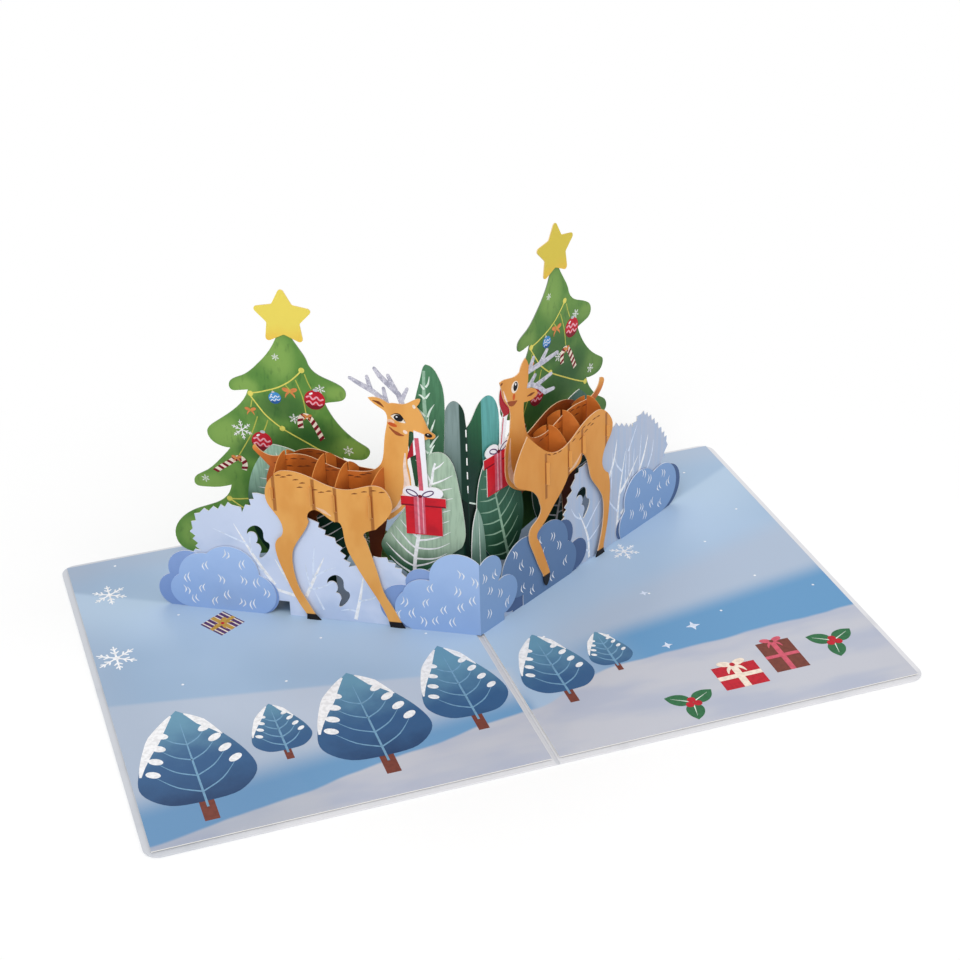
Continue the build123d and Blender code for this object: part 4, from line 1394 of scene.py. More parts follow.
@dataclass
class Spread(Assembly):
    """Cover and the two printed pages."""

    flakes: tuple = ((-134, 70, 7.5), (-139, 23, 8.5), (77, 25, 6.5))
    stars: tuple = (
        (128, 78), (112, 20), (81, -37), (66, -46), (96, -31), (120, -12), (139, -27), (47, -31),
        (-110, 45), (-60, 8), (-20, -4), (74, -9), (-128, 92), (23, -23), (-80, -16), (104, 60), (-118, -4),
        (136, 40),
    )
    glows: tuple = ((81, -37, 2.2), (66, -46, 1.7), (72, -8, 1.4))
    trees: tuple = ((-124, -88, 68, 42), (-90, -64, 36, 22), (-57, -85, 66, 42), (-18.5, -72, 58, 32),
                    (19, -68, 48, 28), (43, -55, 28, 17))
    parcels: tuple = ((84, -82, 18, 15), (105, -78, 14, 20))
    sprigs: tuple = ((128, -66), (60, -84))
    candy_at: Point = (-94.5, 32.4)
    candy_half: float = 6.3
    candy_turn: float = 31.0
    candy_bars: int = 6

    def build(self) -> None:
        """Dress the cover and pages and print their motifs."""
        self.dress(["cover"], CoverStock().build())
        self.dress(["page_left", "page_right"], PagePrint().build())
        page = Print("page_motifs", self.fold.page(), "page_print", self.shelf)
        for across, back, radius in self.flakes:
            page.shape(Ink.WHITE, moved(snowflake(radius), across, back))
            page.shape(Ink.WHITE, moved(star(radius * 0.3, radius * 0.14, 6), across, back), 1)
        for across, back in self.stars:
            page.shape(Ink.WHITE, oval(across, back, 0.55, 0.5, 0, 10))
        for across, back, radius in self.glows:
            page.shape(Ink.FROST, moved(star(radius * 1.4, radius * 0.55, 4), across, back), 1)
        self.candy_square(page)
        for across, back, height, width in self.trees:
            for ink, outline, layer in round_tree(height, width):
                page.shape("crown" if ink is Ink.BLUE else ink, moved(outline, across, back), layer)
        inks = ((Ink.RED, Ink.CREAM), (Ink.BARK, Ink.ROSE))
        for (across, back, width, height), (box, ribbon) in zip(self.parcels, inks):
            page.motif(parcel(width, height, box, ribbon), across, back)
        for across, back in self.sprigs:
            self.holly(page, across, back)
        page.press()

    def candy_square(self, page: Print) -> None:
        """Print the small striped square with its golden bow.

        Args:
            page: the pages' print.
        """
        centre, half, turn = self.candy_at, self.candy_half, self.candy_turn
        square = [(-half, -half), (half, -half), (half, half), (-half, half)]
        page.shape(Ink.PURPLE, moved(square, *centre, turn))
        for number in range(self.candy_bars):
            left = -half + (number + 0.4) * half / 3
            bar = [(left, -half), (left + half * 0.1, -half), (left + half * 0.1, half), (left, half)]
            page.shape(Ink.CREAM, moved(bar, *centre, turn), 1)
        band = stroke([(-half, 0), (half, 0)], half * 0.3)
        page.shape(Ink.GOLD, moved(band, *centre, turn), 2)
        page.shape(Ink.GOLD, moved(band, *centre, turn + 90), 3)
        page.motif(bow(half * 0.6, Ink.GOLD, Ink.RED), *centre, turn + 15, layer=4)

    @staticmethod
    def holly(page: Print, across: float, back: float) -> None:
        """Print a holly sprig with three berries.

        Args:
            page: the pages' print.
            across: its middle across the page.
            back: its middle up the page.
        """
        for turn in (-62, 58, 168):
            page.shape(Ink.HOLLY, moved(leaf_blade(11, 7), across, back, turn))
            page.shape(Ink.VEIN, moved(stroke([(0, 1), (0, 8.5)], 0.6, Taper.TIP), across, back, turn), 1)
        for a, b in ((0, 1.5), (1.6, -1.1), (-1.6, -1.1)):
            page.shape(Ink.RED, oval(across + a, back + b, 1.65, 1.65, 0, 14), 2)


@dataclass
class FrostWall(Assembly):
    """Frost leaf wall with its white veins."""

    left_veins: tuple = (
        ((-51, 1), (-48.5, 12), (-46.5, 23)), ((-50.8, 5), (-53.4, 5.4), (-57, 4.6)),
        ((-49.2, 10), (-44, 11.5), (-40.5, 14)), ((-71.5, 9), (-67, 19), (-62.5, 29)),
        ((-69, 14.5), (-70, 20), (-70.5, 26)), ((-69.5, 13), (-64, 15), (-59, 18)),
        ((-66.5, 20), (-62, 23), (-57.5, 25)), ((-67.5, 19), (-67, 27), (-66, 34)),
        ((-72, 8), (-78, 16), (-83, 26)), ((-84, 14), (-92, 27), (-99, 41)),
        ((-88, 20), (-95, 23), (-101, 28)), ((-92.5, 28), (-92.8, 33), (-92.4, 37.4)),
        ((-94, 32), (-101, 35), (-108, 38)), ((-64, 4), (-66, 9), (-67.5, 13)),
        ((-38, 4), (-40, 12), (-41, 20)), ((-40, 8), (-36, 12), (-33, 17)),
        ((-75, 9.5), (-84, 12), (-93, 16)), ((-30, 5), (-31, 12), (-30, 19)),
    )
    right_veins: tuple = (
        ((71, 1), (70, 12), (64, 26)), ((69, 16), (75, 22), (81, 27)), ((66, 22), (62, 25), (59, 30)),
        ((70, 9), (76, 12), (82, 17)), ((90, 3), (92, 22), (96, 41)), ((91, 14), (86, 20), (83, 27)),
        ((92, 22), (99, 28), (105, 35)), ((94, 32), (90, 37), (88, 43)), ((93, 12), (101, 16), (108, 22)),
        ((112, 26), (115, 32), (116, 38)), ((98, 40), (101, 45), (104, 50)), ((71, 4), (66, 8), (60, 14)),
        ((84, 32), (88, 40), (90, 49)), ((104, 24), (109, 33), (112, 42)),
    )
    right_streaks: tuple = (
        (95.5, 10, 42), (98, 8, 46), (101, 12, 40), (86, 20, 44), (106, 26, 44), (79, 28, 42),
    )
    main_length: float = 18.0
    main_width: float = 1.5
    twig_width: float = 0.9
    streak_width: float = 0.7

    def build(self) -> None:
        """Dress the wall and paint its veins."""
        self.dress(["front_wall"], FrostPrint(self.fold).build())
        for side, veins in ((LEFT, self.left_veins), (RIGHT, self.right_veins)):
            sheet = self.sheet(f"frost_veins_{word_of(side)}", side, 0, "frost_wall")
            for vein in veins:
                (across, up), (end, top) = vein[0], vein[-1]
                main = math.hypot(end - across, top - up) > self.main_length
                ink, width = (Ink.WHITE, self.main_width) if main else (Ink.FROST, self.twig_width)
                sheet.shape(ink, brush(vein, width, Taper.TIP, 5))
            for across, low, high in self.right_streaks if side == RIGHT else ():
                line = [(across, low), (across + 0.4, (low + high) / 2), (across + 1.2, high)]
                sheet.shape(Ink.FROST, brush(line, self.streak_width))
            sheet.press()


@dataclass(frozen=True)
class Cloud:
    """One side of a cloud, and where its pairs of brush strokes are."""

    name: str
    side: int
    depth: float
    pairs: tuple
    slot: str = "cloud_pale"


@dataclass
class Clouds(Assembly):
    """Clouds of the fold and on the wall, with their short white brush strokes."""

    stroke_height: float = 4.7
    stroke_width: float = 0.62
    gap: float = 1.5
    shapes: tuple = (
        Cloud("centre_cloud_strokes_left", LEFT, -1.2, (
            (-7.6, 27.4), (-19.6, 20), (-21.6, 13), (-31, 12.6), (-27.5, 7.5), (-18, 5), (-11, 5),
            (-7.4, 12.4), (-2.6, 16), (-2.2, 24.6), (-9.2, 19.6), (-33.4, 6.2), (-23.6, 4.2), (-14.4, 10.4),
        )),
        Cloud("centre_cloud_strokes_right", RIGHT, -1.2, (
            (3, 25), (12, 14), (6, 18), (17, 7.6), (5.2, 7.6), (9.6, 24),
        )),
        Cloud("cloud_left_strokes", LEFT, -0.8, (
            (-104, 26.6), (-97, 22.6), (-121, 14), (-107, 14.6), (-97.6, 15), (-115, 9.6), (-122.4, 8),
            (-112.8, 20.4), (-104.6, 7.4), (-94, 4), (-88.4, 10), (-99, 4.4), (-110, 4), (-91.6, 14.6),
            (-118.6, 4.2),
        )),
        Cloud("cloud_inner_strokes", RIGHT, -0.8, (
            (22, 26.4), (38, 25), (46, 23.6), (32, 14), (42, 12), (33, 4.6), (46, 4.6), (54.6, 8),
            (50, 17.6), (26.4, 19.6), (40, 18.6), (27.2, 8.6),
        ), "cloud_deep"),
        Cloud("cloud_right_strokes", RIGHT, -0.8, (
            (100, 8.8), (107, 9), (112.6, 20.6), (115, 8), (121, 5), (127, 13), (104.4, 17.6), (109.6, 4.2),
            (120.4, 13.4), (108.6, 25), (122.8, 19),
        )),
    )
    # Word, top, foot and shaded tones, then nodes. The shaded tone is painted shade on the right wing; the
    # deep, behind and dim prints are darker copies, painted shade on clouds standing behind others.
    prints: tuple = (
        ("pale", (168, 195, 236), (146, 176, 222), (124, 156, 198),
         "centre_cloud", "cloud_left", "cloud_right"),
        ("deep", (110, 142, 188), (88, 118, 162), (96, 124, 162), "cloud_inner"),
        ("behind", (142, 168, 216), (120, 148, 200), (124, 156, 198), "centre_cloud_back", "cloud_left_back"),
        ("dim", (86, 110, 150), (70, 94, 136), (76, 98, 138), "cloud_inner_back", "cloud_right_back"),
    )

    def build(self) -> None:
        """Dress the clouds and paint their strokes."""
        for word, top, foot, shaded, *nodes in self.prints:
            tones = (tone(*steps) for steps in (top, foot, shaded))
            self.dress(nodes, CloudPrint(self.fold, f"cloud_print_{word}", *tones).build())
        draws = random.Random(7)
        for cloud in self.shapes:
            sheet = self.sheet(cloud.name, cloud.side, cloud.depth, cloud.slot)
            for across, up in cloud.pairs:
                self.pair(sheet, across, up, draws)
            sheet.press()

    def pair(self, sheet: Print, across: float, up: float, draws: random.Random) -> None:
        """Paint two curved strokes side by side.

        Args:
            sheet: the cloud's print.
            across: middle of the pair across the sheet.
            up: its middle up the sheet.
            draws: seeded random draws.
        """
        bend, lean = draws.choice((-0.75, 0.75)), draws.uniform(-14, 14)
        for number in (-1, 1):
            tall = self.stroke_height * draws.uniform(0.7, 1.0)
            path = [(0, tall / 2), (bend, tall * 0.1), (bend * 0.7, -tall * 0.2), (-bend * 0.3, -tall / 2)]
            place = (across + number * self.gap / 2, up - number * bend * 0.5)
            sheet.shape(Ink.WHITE, moved(brush(path, self.stroke_width, steps=3), *place, lean))


@dataclass(frozen=True)
class Blade:
    """A single leaf as it was cut: where its foot is, how it leans and its veins."""

    node: str
    side: int
    depth: float
    place: float
    foot: float
    length: float
    width: float
    lean: float
    slot: str
    ink: Ink
    veins: int
    first: float = 0.16
    last: float = 0.86
    climb: float = 0.5

    def put(self, across: float, along: float) -> Point:
        """Point of the leaf, across its midrib and along it."""
        cos, sin = math.cos(math.radians(self.lean)), math.sin(math.radians(self.lean))
        return self.place + across * cos + along * sin, self.foot + along * cos - across * sin

    def half(self, share: float) -> float:
        """Half width of the leaf.

        Args:
            share: share of its length, from its foot.

        Returns:
            Millimetres from midrib to rim.
        """
        rows = ((0.0, 0.0), (0.12, 0.6), (0.3, 0.94), (0.48, 1.0), (0.68, 0.87), (0.87, 0.54), (1.0, 0.0))
        for (low, start), (high, end) in zip(rows, rows[1:]):
            if share <= high:
                return self.width / 2 * (start + (end - start) * (share - low) / (high - low))
        return 0.0


@dataclass
class CreaseLeaves(Assembly):
    """Leaves at the crease and behind the deer, with their midribs and veins."""

    tall_rib: tuple = (
        (-12.4, 14), (-12.8, 30), (-13.8, 50), (-15, 70), (-15.6, 83.5), (-15.8, 87.9), (-16.1, 100.7),
        (-15.7, 111.3),
    )
    tall_veins: tuple = (
        ((-15.3, 104.4), (-14.2, 106.1), (-13.7, 109.1)), ((-15.5, 99.7), (-14.5, 101), (-13.6, 102.3)),
        ((-15, 91.7), (-13.9, 94.7), (-12.1, 97.5)), ((-15.7, 87.4), (-15.1, 89), (-14.6, 91.6)),
        ((-14.6, 84), (-13.3, 87.7), (-12.1, 91)), ((-14.6, 78.6), (-12.8, 81.8), (-11, 84.1)),
        ((-15, 74.6), (-13.7, 78.4), (-12.6, 80)), ((-14.4, 66), (-12.6, 69.6), (-11.2, 72)),
        ((-14, 57), (-12.6, 60), (-11.6, 62.6)), ((-15.9, 99.4), (-17.3, 100.8), (-18.2, 101)),
        ((-15.9, 103.4), (-16.8, 104.8), (-17.2, 105.6)), ((-16, 92), (-18.2, 94.4), (-20, 96)),
        ((-15.8, 84), (-18.6, 87), (-21.2, 89)), ((-15.4, 76), (-18.6, 79), (-21.4, 81)),
        ((-15, 68), (-18, 71), (-20.6, 72.6)), ((-14.4, 59), (-16.8, 62), (-19.2, 64)),
        ((-13.8, 49), (-16, 52), (-18.2, 54)),
    )
    pale_rib: tuple = (
        (-23.3, 22), (-22.9, 27.3), (-21.9, 33.8), (-21, 38.3), (-18.6, 50), (-16, 60), (-14.6, 64.4),
        (-13.9, 68.9), (-13, 72.2),
    )
    pale_veins: tuple = (
        ((-23, 24.6), (-18, 26.2), (-13.9, 28.4)),
        ((-22.4, 28.3), (-17.9, 28.4), (-13.7, 29.4), (-9.8, 31.9)),
        ((-21.8, 33.3), (-17.7, 33.1), (-13, 34.1), (-8.4, 36.8)),
        ((-20.8, 36.8), (-16.8, 37.6), (-12, 39.4), (-7.9, 41.9)),
        ((-19.8, 43.4), (-14, 44.4), (-8.2, 46.9)), ((-18.8, 48.4), (-13, 49.8), (-7.6, 51.8)),
        ((-17.4, 54), (-12, 55.4), (-6.5, 57.2)), ((-15.9, 58.8), (-10.9, 60.4), (-6.6, 61.7)),
        ((-14.6, 62.8), (-10.9, 64.5), (-6.3, 67.4)), ((-13.7, 69.4), (-11.4, 71), (-9.4, 73.2)),
        ((-23.2, 24.6), (-27.3, 26.8), (-31.6, 31.1), (-34.4, 34.6)),
        ((-25.2, 21.8), (-29.8, 25), (-33.2, 28.6)),
        ((-23, 29.1), (-26.2, 31.7), (-29.7, 35.6), (-32.3, 39.4)),
        ((-22.4, 33.2), (-24.6, 35.1), (-26.8, 38), (-30.2, 42.6)),
        ((-21.2, 38), (-24.2, 40.8), (-26, 42.8), (-28, 45.6)), ((-20.2, 42.6), (-23, 45.4), (-26, 48.6)),
        ((-19.2, 47.6), (-21.4, 50.6), (-23.8, 53.2)), ((-17.8, 53), (-19.6, 56), (-21.2, 57.8)),
        ((-16.4, 58), (-17.8, 61), (-19, 63.2)), ((-15, 63), (-16, 66), (-16.8, 68.2)),
    )
    blades: tuple = (
        Blade("dark_leaf", RIGHT, 6.8, 23.0, 19, 54, 27, -12.4, "leaf_dark", Ink.PALE_VEIN, 8, 0.12),
        Blade("small_leaf", RIGHT, 6.4, 5.4, 9.7, 42, 8, -0.6, "leaf_pale", Ink.VEIN, 0),
        Blade("side_leaf_left", LEFT, 16.0, -58.0, 9, 63, 43, -16.5, "leaf_pale", Ink.WHITE, 12,
              last=0.92, climb=0.28),
        Blade("side_leaf_right", RIGHT, 16.0, 58.0, 9, 63, 43, 16.5, "leaf_pale", Ink.WHITE, 12,
              last=0.92, climb=0.28),
    )
    # Near black patches where the crease opens: painted shade, one with a pale rim line.
    wedges: tuple = (
        (LEFT, ((-3.4, 57.2), (-0.2, 55.2), (-0.2, 22), (-2, 24), (-2, 40), (-2.5, 52)), ()),
        (RIGHT, ((0.2, 55.2), (4.6, 52.6), (4.2, 46), (2.6, 40), (0.2, 33)), ((0.4, 55.2), (4.7, 52.6))),
    )
    prints: tuple = (
        ("tall_leaf", "tall_leaf_print", (32, 74, 46), (78, 130, 94), 62, 112, 8),
        ("pale_leaf", "pale_leaf_print", (40, 88, 60), (172, 196, 172), 23, 36, 5, -27.0, 0.7),
        ("dark_leaf", "dark_leaf_print", (30, 70, 48), (64, 112, 88), 20, 62, 22),
        ("small_leaf", "small_leaf_print", (78, 116, 100), (148, 176, 160), 20, 50, 8),
        # The right side leaf's tip is a darker copy of the left one's: painted shade on the right wing.
        ("side_leaf_left", "side_leaf_print_left", (26, 66, 48), (164, 204, 182), 36, 62),
        ("side_leaf_right", "side_leaf_print_right", (26, 66, 48), (72, 112, 98), 36, 62),
    )
    tall_depth: float = 7.2
    pale_depth: float = 6.8
    fold_depth: float = 7.6
    wedge_rim: float = 0.6
    midrib_width: float = 1.5
    tall_midrib_width: float = 2.2
    drawn_vein_width: float = 0.85
    vein_width: float = 0.75

    def build(self) -> None:
        """Dress the leaves and paint their veins."""
        self.dress(["leaf_fold"], FoldLeafPrint(self.fold).build())
        for node, name, foot, tip, *run in self.prints:
            self.dress([node], LeafPrint(self.fold, name, tone(*foot), tone(*tip), *run).build())
        tall = self.sheet("tall_leaf_veins", LEFT, self.tall_depth, "leaf_dark")
        tall.shape(Ink.PALE_VEIN, brush(self.tall_rib, self.tall_midrib_width, Taper.SOFT))
        self.drawn(tall, Ink.VEIN, self.tall_veins)
        pale = self.sheet("pale_leaf_veins", LEFT, self.pale_depth, "leaf_pale")
        pale.shape(Ink.WHITE, brush(self.pale_rib, self.midrib_width, Taper.SOFT))
        self.drawn(pale, Ink.WHITE, self.pale_veins)
        for side, wedge, rim in self.wedges:
            sheet = self.sheet(f"leaf_fold_shade_wedge_{word_of(side)}", side, self.fold_depth, "leaf_dark")
            # Painted shade in the crease's opening.
            sheet.shape(Ink.SHADE_GREEN, wedge)
            if rim:
                sheet.shape(Ink.VEIN, stroke(rim, self.wedge_rim), 1)
            sheet.press()
        for blade in self.blades:
            self.veins(blade)

    def drawn(self, sheet: Print, ink: Ink, veins: tuple) -> None:
        """Paint listed side veins and press the leaf's print.

        Args:
            sheet: the leaf's print, with its midrib.
            ink: ink of the veins.
            veins: their lines.
        """
        for vein in veins:
            sheet.shape(ink, brush(vein, self.drawn_vein_width, Taper.TIP), 1)
        sheet.press()

    def veins(self, blade: Blade) -> None:
        """Paint one leaf's midrib and its side veins.

        Args:
            blade: the leaf.
        """
        front = self.sheet(f"{blade.node}_veins", blade.side, blade.depth, blade.slot)
        rib = [blade.put(0, blade.length * share) for share in (0.02, 0.3, 0.6, 0.94)]
        width = min(self.midrib_width, blade.width * 0.06 + 0.3)
        front.shape(blade.ink, stroke(rib, width, Taper.TIP))
        for number in range(blade.veins):
            share = blade.first + (blade.last - blade.first) * number / max(blade.veins - 1, 1)
            for way in (-1, 1):
                start = share - 0.04 if way < 0 else share - 0.02
                reach = blade.half(min(share + 0.05, 0.97)) * 0.82
                top = min(start + reach * blade.climb / blade.length, 0.97)
                reach = min(reach, blade.half(top) * 0.84)
                path = [
                    blade.put(0, start * blade.length),
                    blade.put(way * reach * 0.5, (start + (top - start) * 0.35) * blade.length),
                    blade.put(way * reach, top * blade.length),
                ]
                front.shape(blade.ink, brush(path, self.vein_width, Taper.TIP), 1)
        front.press()


@dataclass
class FirTrees(Assembly):
    """Decorated fir trees and the stars on their tips."""

    depth: float = 24.0
    place: float = 65.5
    right_tall: float = 1.08
    thread_width: float = 0.45
    garland_width: float = 0.55
    cane_width: float = 2.3
    knot_radius: float = 1.2
    flake_turn: float = 8.0
    garlands: tuple = (
        ((6.1, 99), (4.2, 96.8), (1, 93.9), (-2.2, 91.8), (-5.8, 90.1), (-12.5, 88), (-16.3, 87.5)),
        ((-16.3, 86.8), (-12.1, 80.5), (-9.4, 77.2), (-3.7, 72.5), (5, 67.5), (14.7, 62.3), (20, 60)),
        ((-29, 38), (-24, 38.2), (-14, 40), (-4, 43)),
        ((-29, 38), (-22, 33.5), (-10, 30), (4, 28)),
        ((16, 56), (6, 50), (-6, 46)),
    )
    knots: tuple = ((6.1, 99), (-15.8, 87.2), (-3.7, 72.5), (-29, 38), (19.6, 60.2))
    strings: tuple = (
        ((7.2, 97.5), (8.2, 94.2), (9.5, 91.1)), ((3.3, 94.6), (5.7, 87.3), (6.6, 80.2)),
        ((-0.9, 91.9), (0.7, 89.9)), ((-9.5, 75.8), (-10.8, 72.4), (-11.9, 70.1)),
        ((-13.7, 77.1), (-16.6, 69.7), (-20.2, 63.3), (-23.2, 58.4)), ((-15.4, 84.4), (-16.2, 81)),
        ((-6.8, 89.8), (-6.3, 88.4)),
    )
    bows: tuple = ((0.6, 89.4, 2.9), (-16.4, 79.8, 2.2), (7.0, 78.8, 1.8), (-24.2, 57.4, 2.0))
    flakes: tuple = (
        (-4.2, 104, 1.6), (13.2, 91.2, 2.2), (1.6, 77.3, 2.3), (-20.8, 70.5, 4.5), (23.1, 64.7, 2.3),
        (-38.5, 46.6, 1.8), (-14, 52, 1.8), (28, 24, 3.2), (-34, 20, 3.4), (6, 38, 2.6),
    )
    canes: tuple = (
        (
            (4.1, 73.4), (3.9, 75.6), (4.3, 77.8), (5.8, 79), (7.8, 78.4), (9.6, 75.8), (11.1, 72.7),
            (12.6, 69),
        ),
        (
            (-21.6, 52), (-20.9, 54.2), (-21.4, 56.4), (-23, 57.4), (-25, 56.8), (-28, 54.6), (-31, 52.6),
            (-33.4, 50.8),
        ),
        ((11.2, 36.4), (10.8, 38.6), (11.8, 40.6), (13.8, 40.8), (15.4, 39), (16.4, 36), (17.4, 33)),
    )
    balls: tuple = (
        (10.6, 86.4, 4.3, -8, Ink.RED, Ink.DARK_RED, Ink.PINK),
        (-12.8, 65.9, 4.3, -8, Ink.RED, Ink.DARK_RED, Ink.PINK),
        (-5.8, 86, 2.6, 12, Ink.BLUE, Ink.DEEP_BLUE, Ink.FROST),
    )

    def build(self) -> None:
        """Dress the trees and stars and print the ornaments."""
        for side, tall in ((LEFT, 1.0), (RIGHT, self.right_tall)):
            self.dress([f"tree_{word_of(side)}"], TreePrint(self.fold, side, self.place, tall).build())
            self.ornaments(side, tall)
        self.dress(["star_left", "star_right"], StarPrint(self.fold).build())

    def ornaments(self, side: int, tall: float) -> None:
        """Print one tree's garlands, baubles, bows, canes and snowflakes.

        Args:
            side: the tree's wing.
            tall: factor on heights.
        """
        sheet = self.sheet(f"tree_{word_of(side)}_ornaments", side, self.depth, "tree_green")
        middle = side * self.place

        def put(points: tuple) -> Outline:
            """Move points from the tree's own frame to the sheet."""
            return [(middle + across, up * tall) for across, up in points]

        for line in self.strings:
            sheet.shape(Ink.THREAD, brush(put(line), self.thread_width, Taper.EVEN))
        for line in self.garlands:
            sheet.shape(Ink.GARLAND, brush(put(line), self.garland_width, Taper.EVEN, 5), 1)
        for knot in put(self.knots):
            sheet.shape(Ink.GARLAND, oval(*knot, self.knot_radius, self.knot_radius, 0, 14), 2)
        for line in self.canes:
            sheet.motif(candy_cane(put(line), self.cane_width), 0, 0, layer=2)
        for across, up, size in self.bows:
            sheet.motif(bow(size, Ink.ORANGE, Ink.GOLD), middle + across, up * tall, layer=4)
        for across, up, radius, turn, *inks in self.balls:
            sheet.motif(bauble(radius, *inks), middle + across, up * tall, turn, layer=2)
        for across, up, radius in self.flakes:
            flake = moved(snowflake(radius), middle + across, up * tall, self.flake_turn)
            sheet.shape(Ink.WHITE, flake, 1)
        sheet.press()


@dataclass(frozen=True)
class Markings:
    """What is printed on one deer, in millimetres across and up its sheets."""

    eye: Point
    eye_turn: float
    blush: tuple[float, float, float]
    mouth: tuple
    chest: tuple
    belly: tuple
    near_dashes: tuple
    middle_dashes: tuple
    far_dashes: tuple
    ear: tuple


@dataclass
class Deer(Assembly):
    """The two slice form deer with antlers and gifts."""

    near_depth: float = -1.6
    middle_depth: float = 6.0
    far_depth: float = 11.5
    left: Markings = Markings(
        eye=(-27.0, 91.0),
        eye_turn=-12.0,
        blush=(-29.4, 88.0, -20.0),
        mouth=((-30.8, 87.0), (-28.8, 85.0), (-26.8, 83.9), (-25.0, 83.6)),
        chest=((-25, 76), (-25.4, 70), (-24.9, 63), (-25.8, 57.6), (-29, 51.8), (-33.2, 48)),
        belly=((-58.6, 49.4), (-61.8, 51.4), (-64.6, 52.8)),
        near_dashes=(
            (-79, 65.8), (-77, 65.2), (-74.4, 66.2), (-72, 64.4), (-69.4, 63.2), (-70.6, 61.2),
            (-64.6, 60.6), (-62, 59.8), (-58.8, 60.6), (-48.6, 60.4), (-44.6, 61.6), (-41, 62.4),
            (-37.6, 62),
        ),
        middle_dashes=(
            (-74, 68.6), (-70, 69.4), (-66.4, 69.6), (-64.6, 66.6), (-67.4, 66.2), (-61.6, 68.4),
            (-59.6, 66.4), (-57.4, 65.4), (-55.8, 67), (-53.8, 65.8), (-50.6, 65.2), (-47.6, 64),
            (-44.6, 63.6), (-42.4, 64.8), (-40.2, 65.6), (-72, 66), (-77, 67),
        ),
        far_dashes=(
            (-70, 67), (-66, 69), (-62, 70), (-58, 69.4), (-54, 68), (-50, 65.6), (-45, 62.4), (-64, 66.6),
            (-56, 66),
        ),
        ear=((-36.8, 97.8), (-34.4, 97.0), (-32.4, 95.2)),
    )
    right: Markings = Markings(
        eye=(28.5, 95.0),
        eye_turn=8.0,
        blush=(27.6, 91.0, 84.0),
        mouth=((23.4, 90.4), (24.8, 88.2), (27.2, 87.3), (29.6, 88.6)),
        chest=((25.0, 74), (24.2, 66), (24.4, 59.4), (27, 54), (31, 51), (35, 49.4)),
        belly=((56.6, 49.6), (61, 51.2), (64.8, 54.6)),
        near_dashes=(
            (44, 62.8, -30), (47.6, 61.6, -12), (51, 61.2, 0), (60, 62.6, 18), (63, 64.6, 20),
            (66.4, 65.6, 20), (70, 65.6, 12), (73.4, 66.6, 4), (68, 63.4, 18), (72, 64.6, 10),
            (76, 66.6, -4), (64.6, 61.4, 18),
        ),
        middle_dashes=(
            (44, 65, 8), (48, 65.6, 12), (52, 67, 14), (56, 68.4, 10), (60, 69.6, 8), (64, 70, 2),
            (68, 69.6, 0), (50, 63.6, 12), (55, 65, 12), (62, 67, 6), (67, 67, 0), (72, 69, -4),
        ),
        far_dashes=(
            (42, 65.6, 16), (47, 67.6, 16), (52, 69.6, 10), (57, 70.6, 4), (62, 70.4, -4), (67, 68.6, -14),
            (50, 66.6, 14), (60, 67.6, 0), (70, 66.6, -20),
        ),
        ear=((35.6, 88.0), (38.2, 87.9), (40.4, 87.9)),
    )
    left_lid: Point = (-18.8, 55.2)
    right_lid: Point = (18.0, 68.5)
    lid_width: float = 18.0
    lid_height: float = 4.2
    gift_height: float = 12.8

    def build(self) -> None:
        """Dress both deer, their ribs, antlers and gifts."""
        ribs, antler = RibPrint(self.fold).build(), AntlerPrint(self.fold).build()
        for side, marks, lid in ((LEFT, self.left, self.left_lid), (RIGHT, self.right, self.right_lid)):
            name = f"deer_{word_of(side)}"
            for layer in Layer:
                self.dress([f"{name}_{layer.value}"], DeerPrint(self.fold, side, layer).build())
            self.dress([f"{name}_rib_{number}" for number in range(1, 5)], ribs)
            self.dress([f"{name}_antler_{number}" for number in (1, 2)], antler)
            self.dress([f"{name}_gift"], GiftPrint(self.fold, side, lid[1] + self.lid_height / 2).build())
            self.coat(name, side, marks)
            for head in self.sheets(f"{name}_face", side, self.middle_depth, "deer_tan"):
                self.head(head, marks, side)
            self.gift(name, side, lid)

    def coat(self, name: str, side: int, marks: Markings) -> None:
        """Print the dashes on the coat and inside the body.

        Args:
            name: the deer's name.
            side: its wing.
            marks: where the markings are.
        """
        near = self.sheet(f"{name}_coat_dashes", side, self.near_depth, "deer_tan")
        near.dashes(Ink.DASH, marks.near_dashes, 2.6, 0.6, 8)
        near.shape(Ink.CHEST, brush(marks.belly, 1.5))
        near.press()
        inner = self.sheet(f"{name}_inner_dashes", side, self.middle_depth, "deer_tan")
        inner.dashes(Ink.DASH, marks.middle_dashes, 3.0, 0.7, 4)
        inner.press()
        for far in self.sheets(f"{name}_far_dashes", side, self.far_depth, "deer_tan"):
            far.dashes(Ink.DASH, marks.far_dashes, 3.0, 0.7, 4)
            far.press()

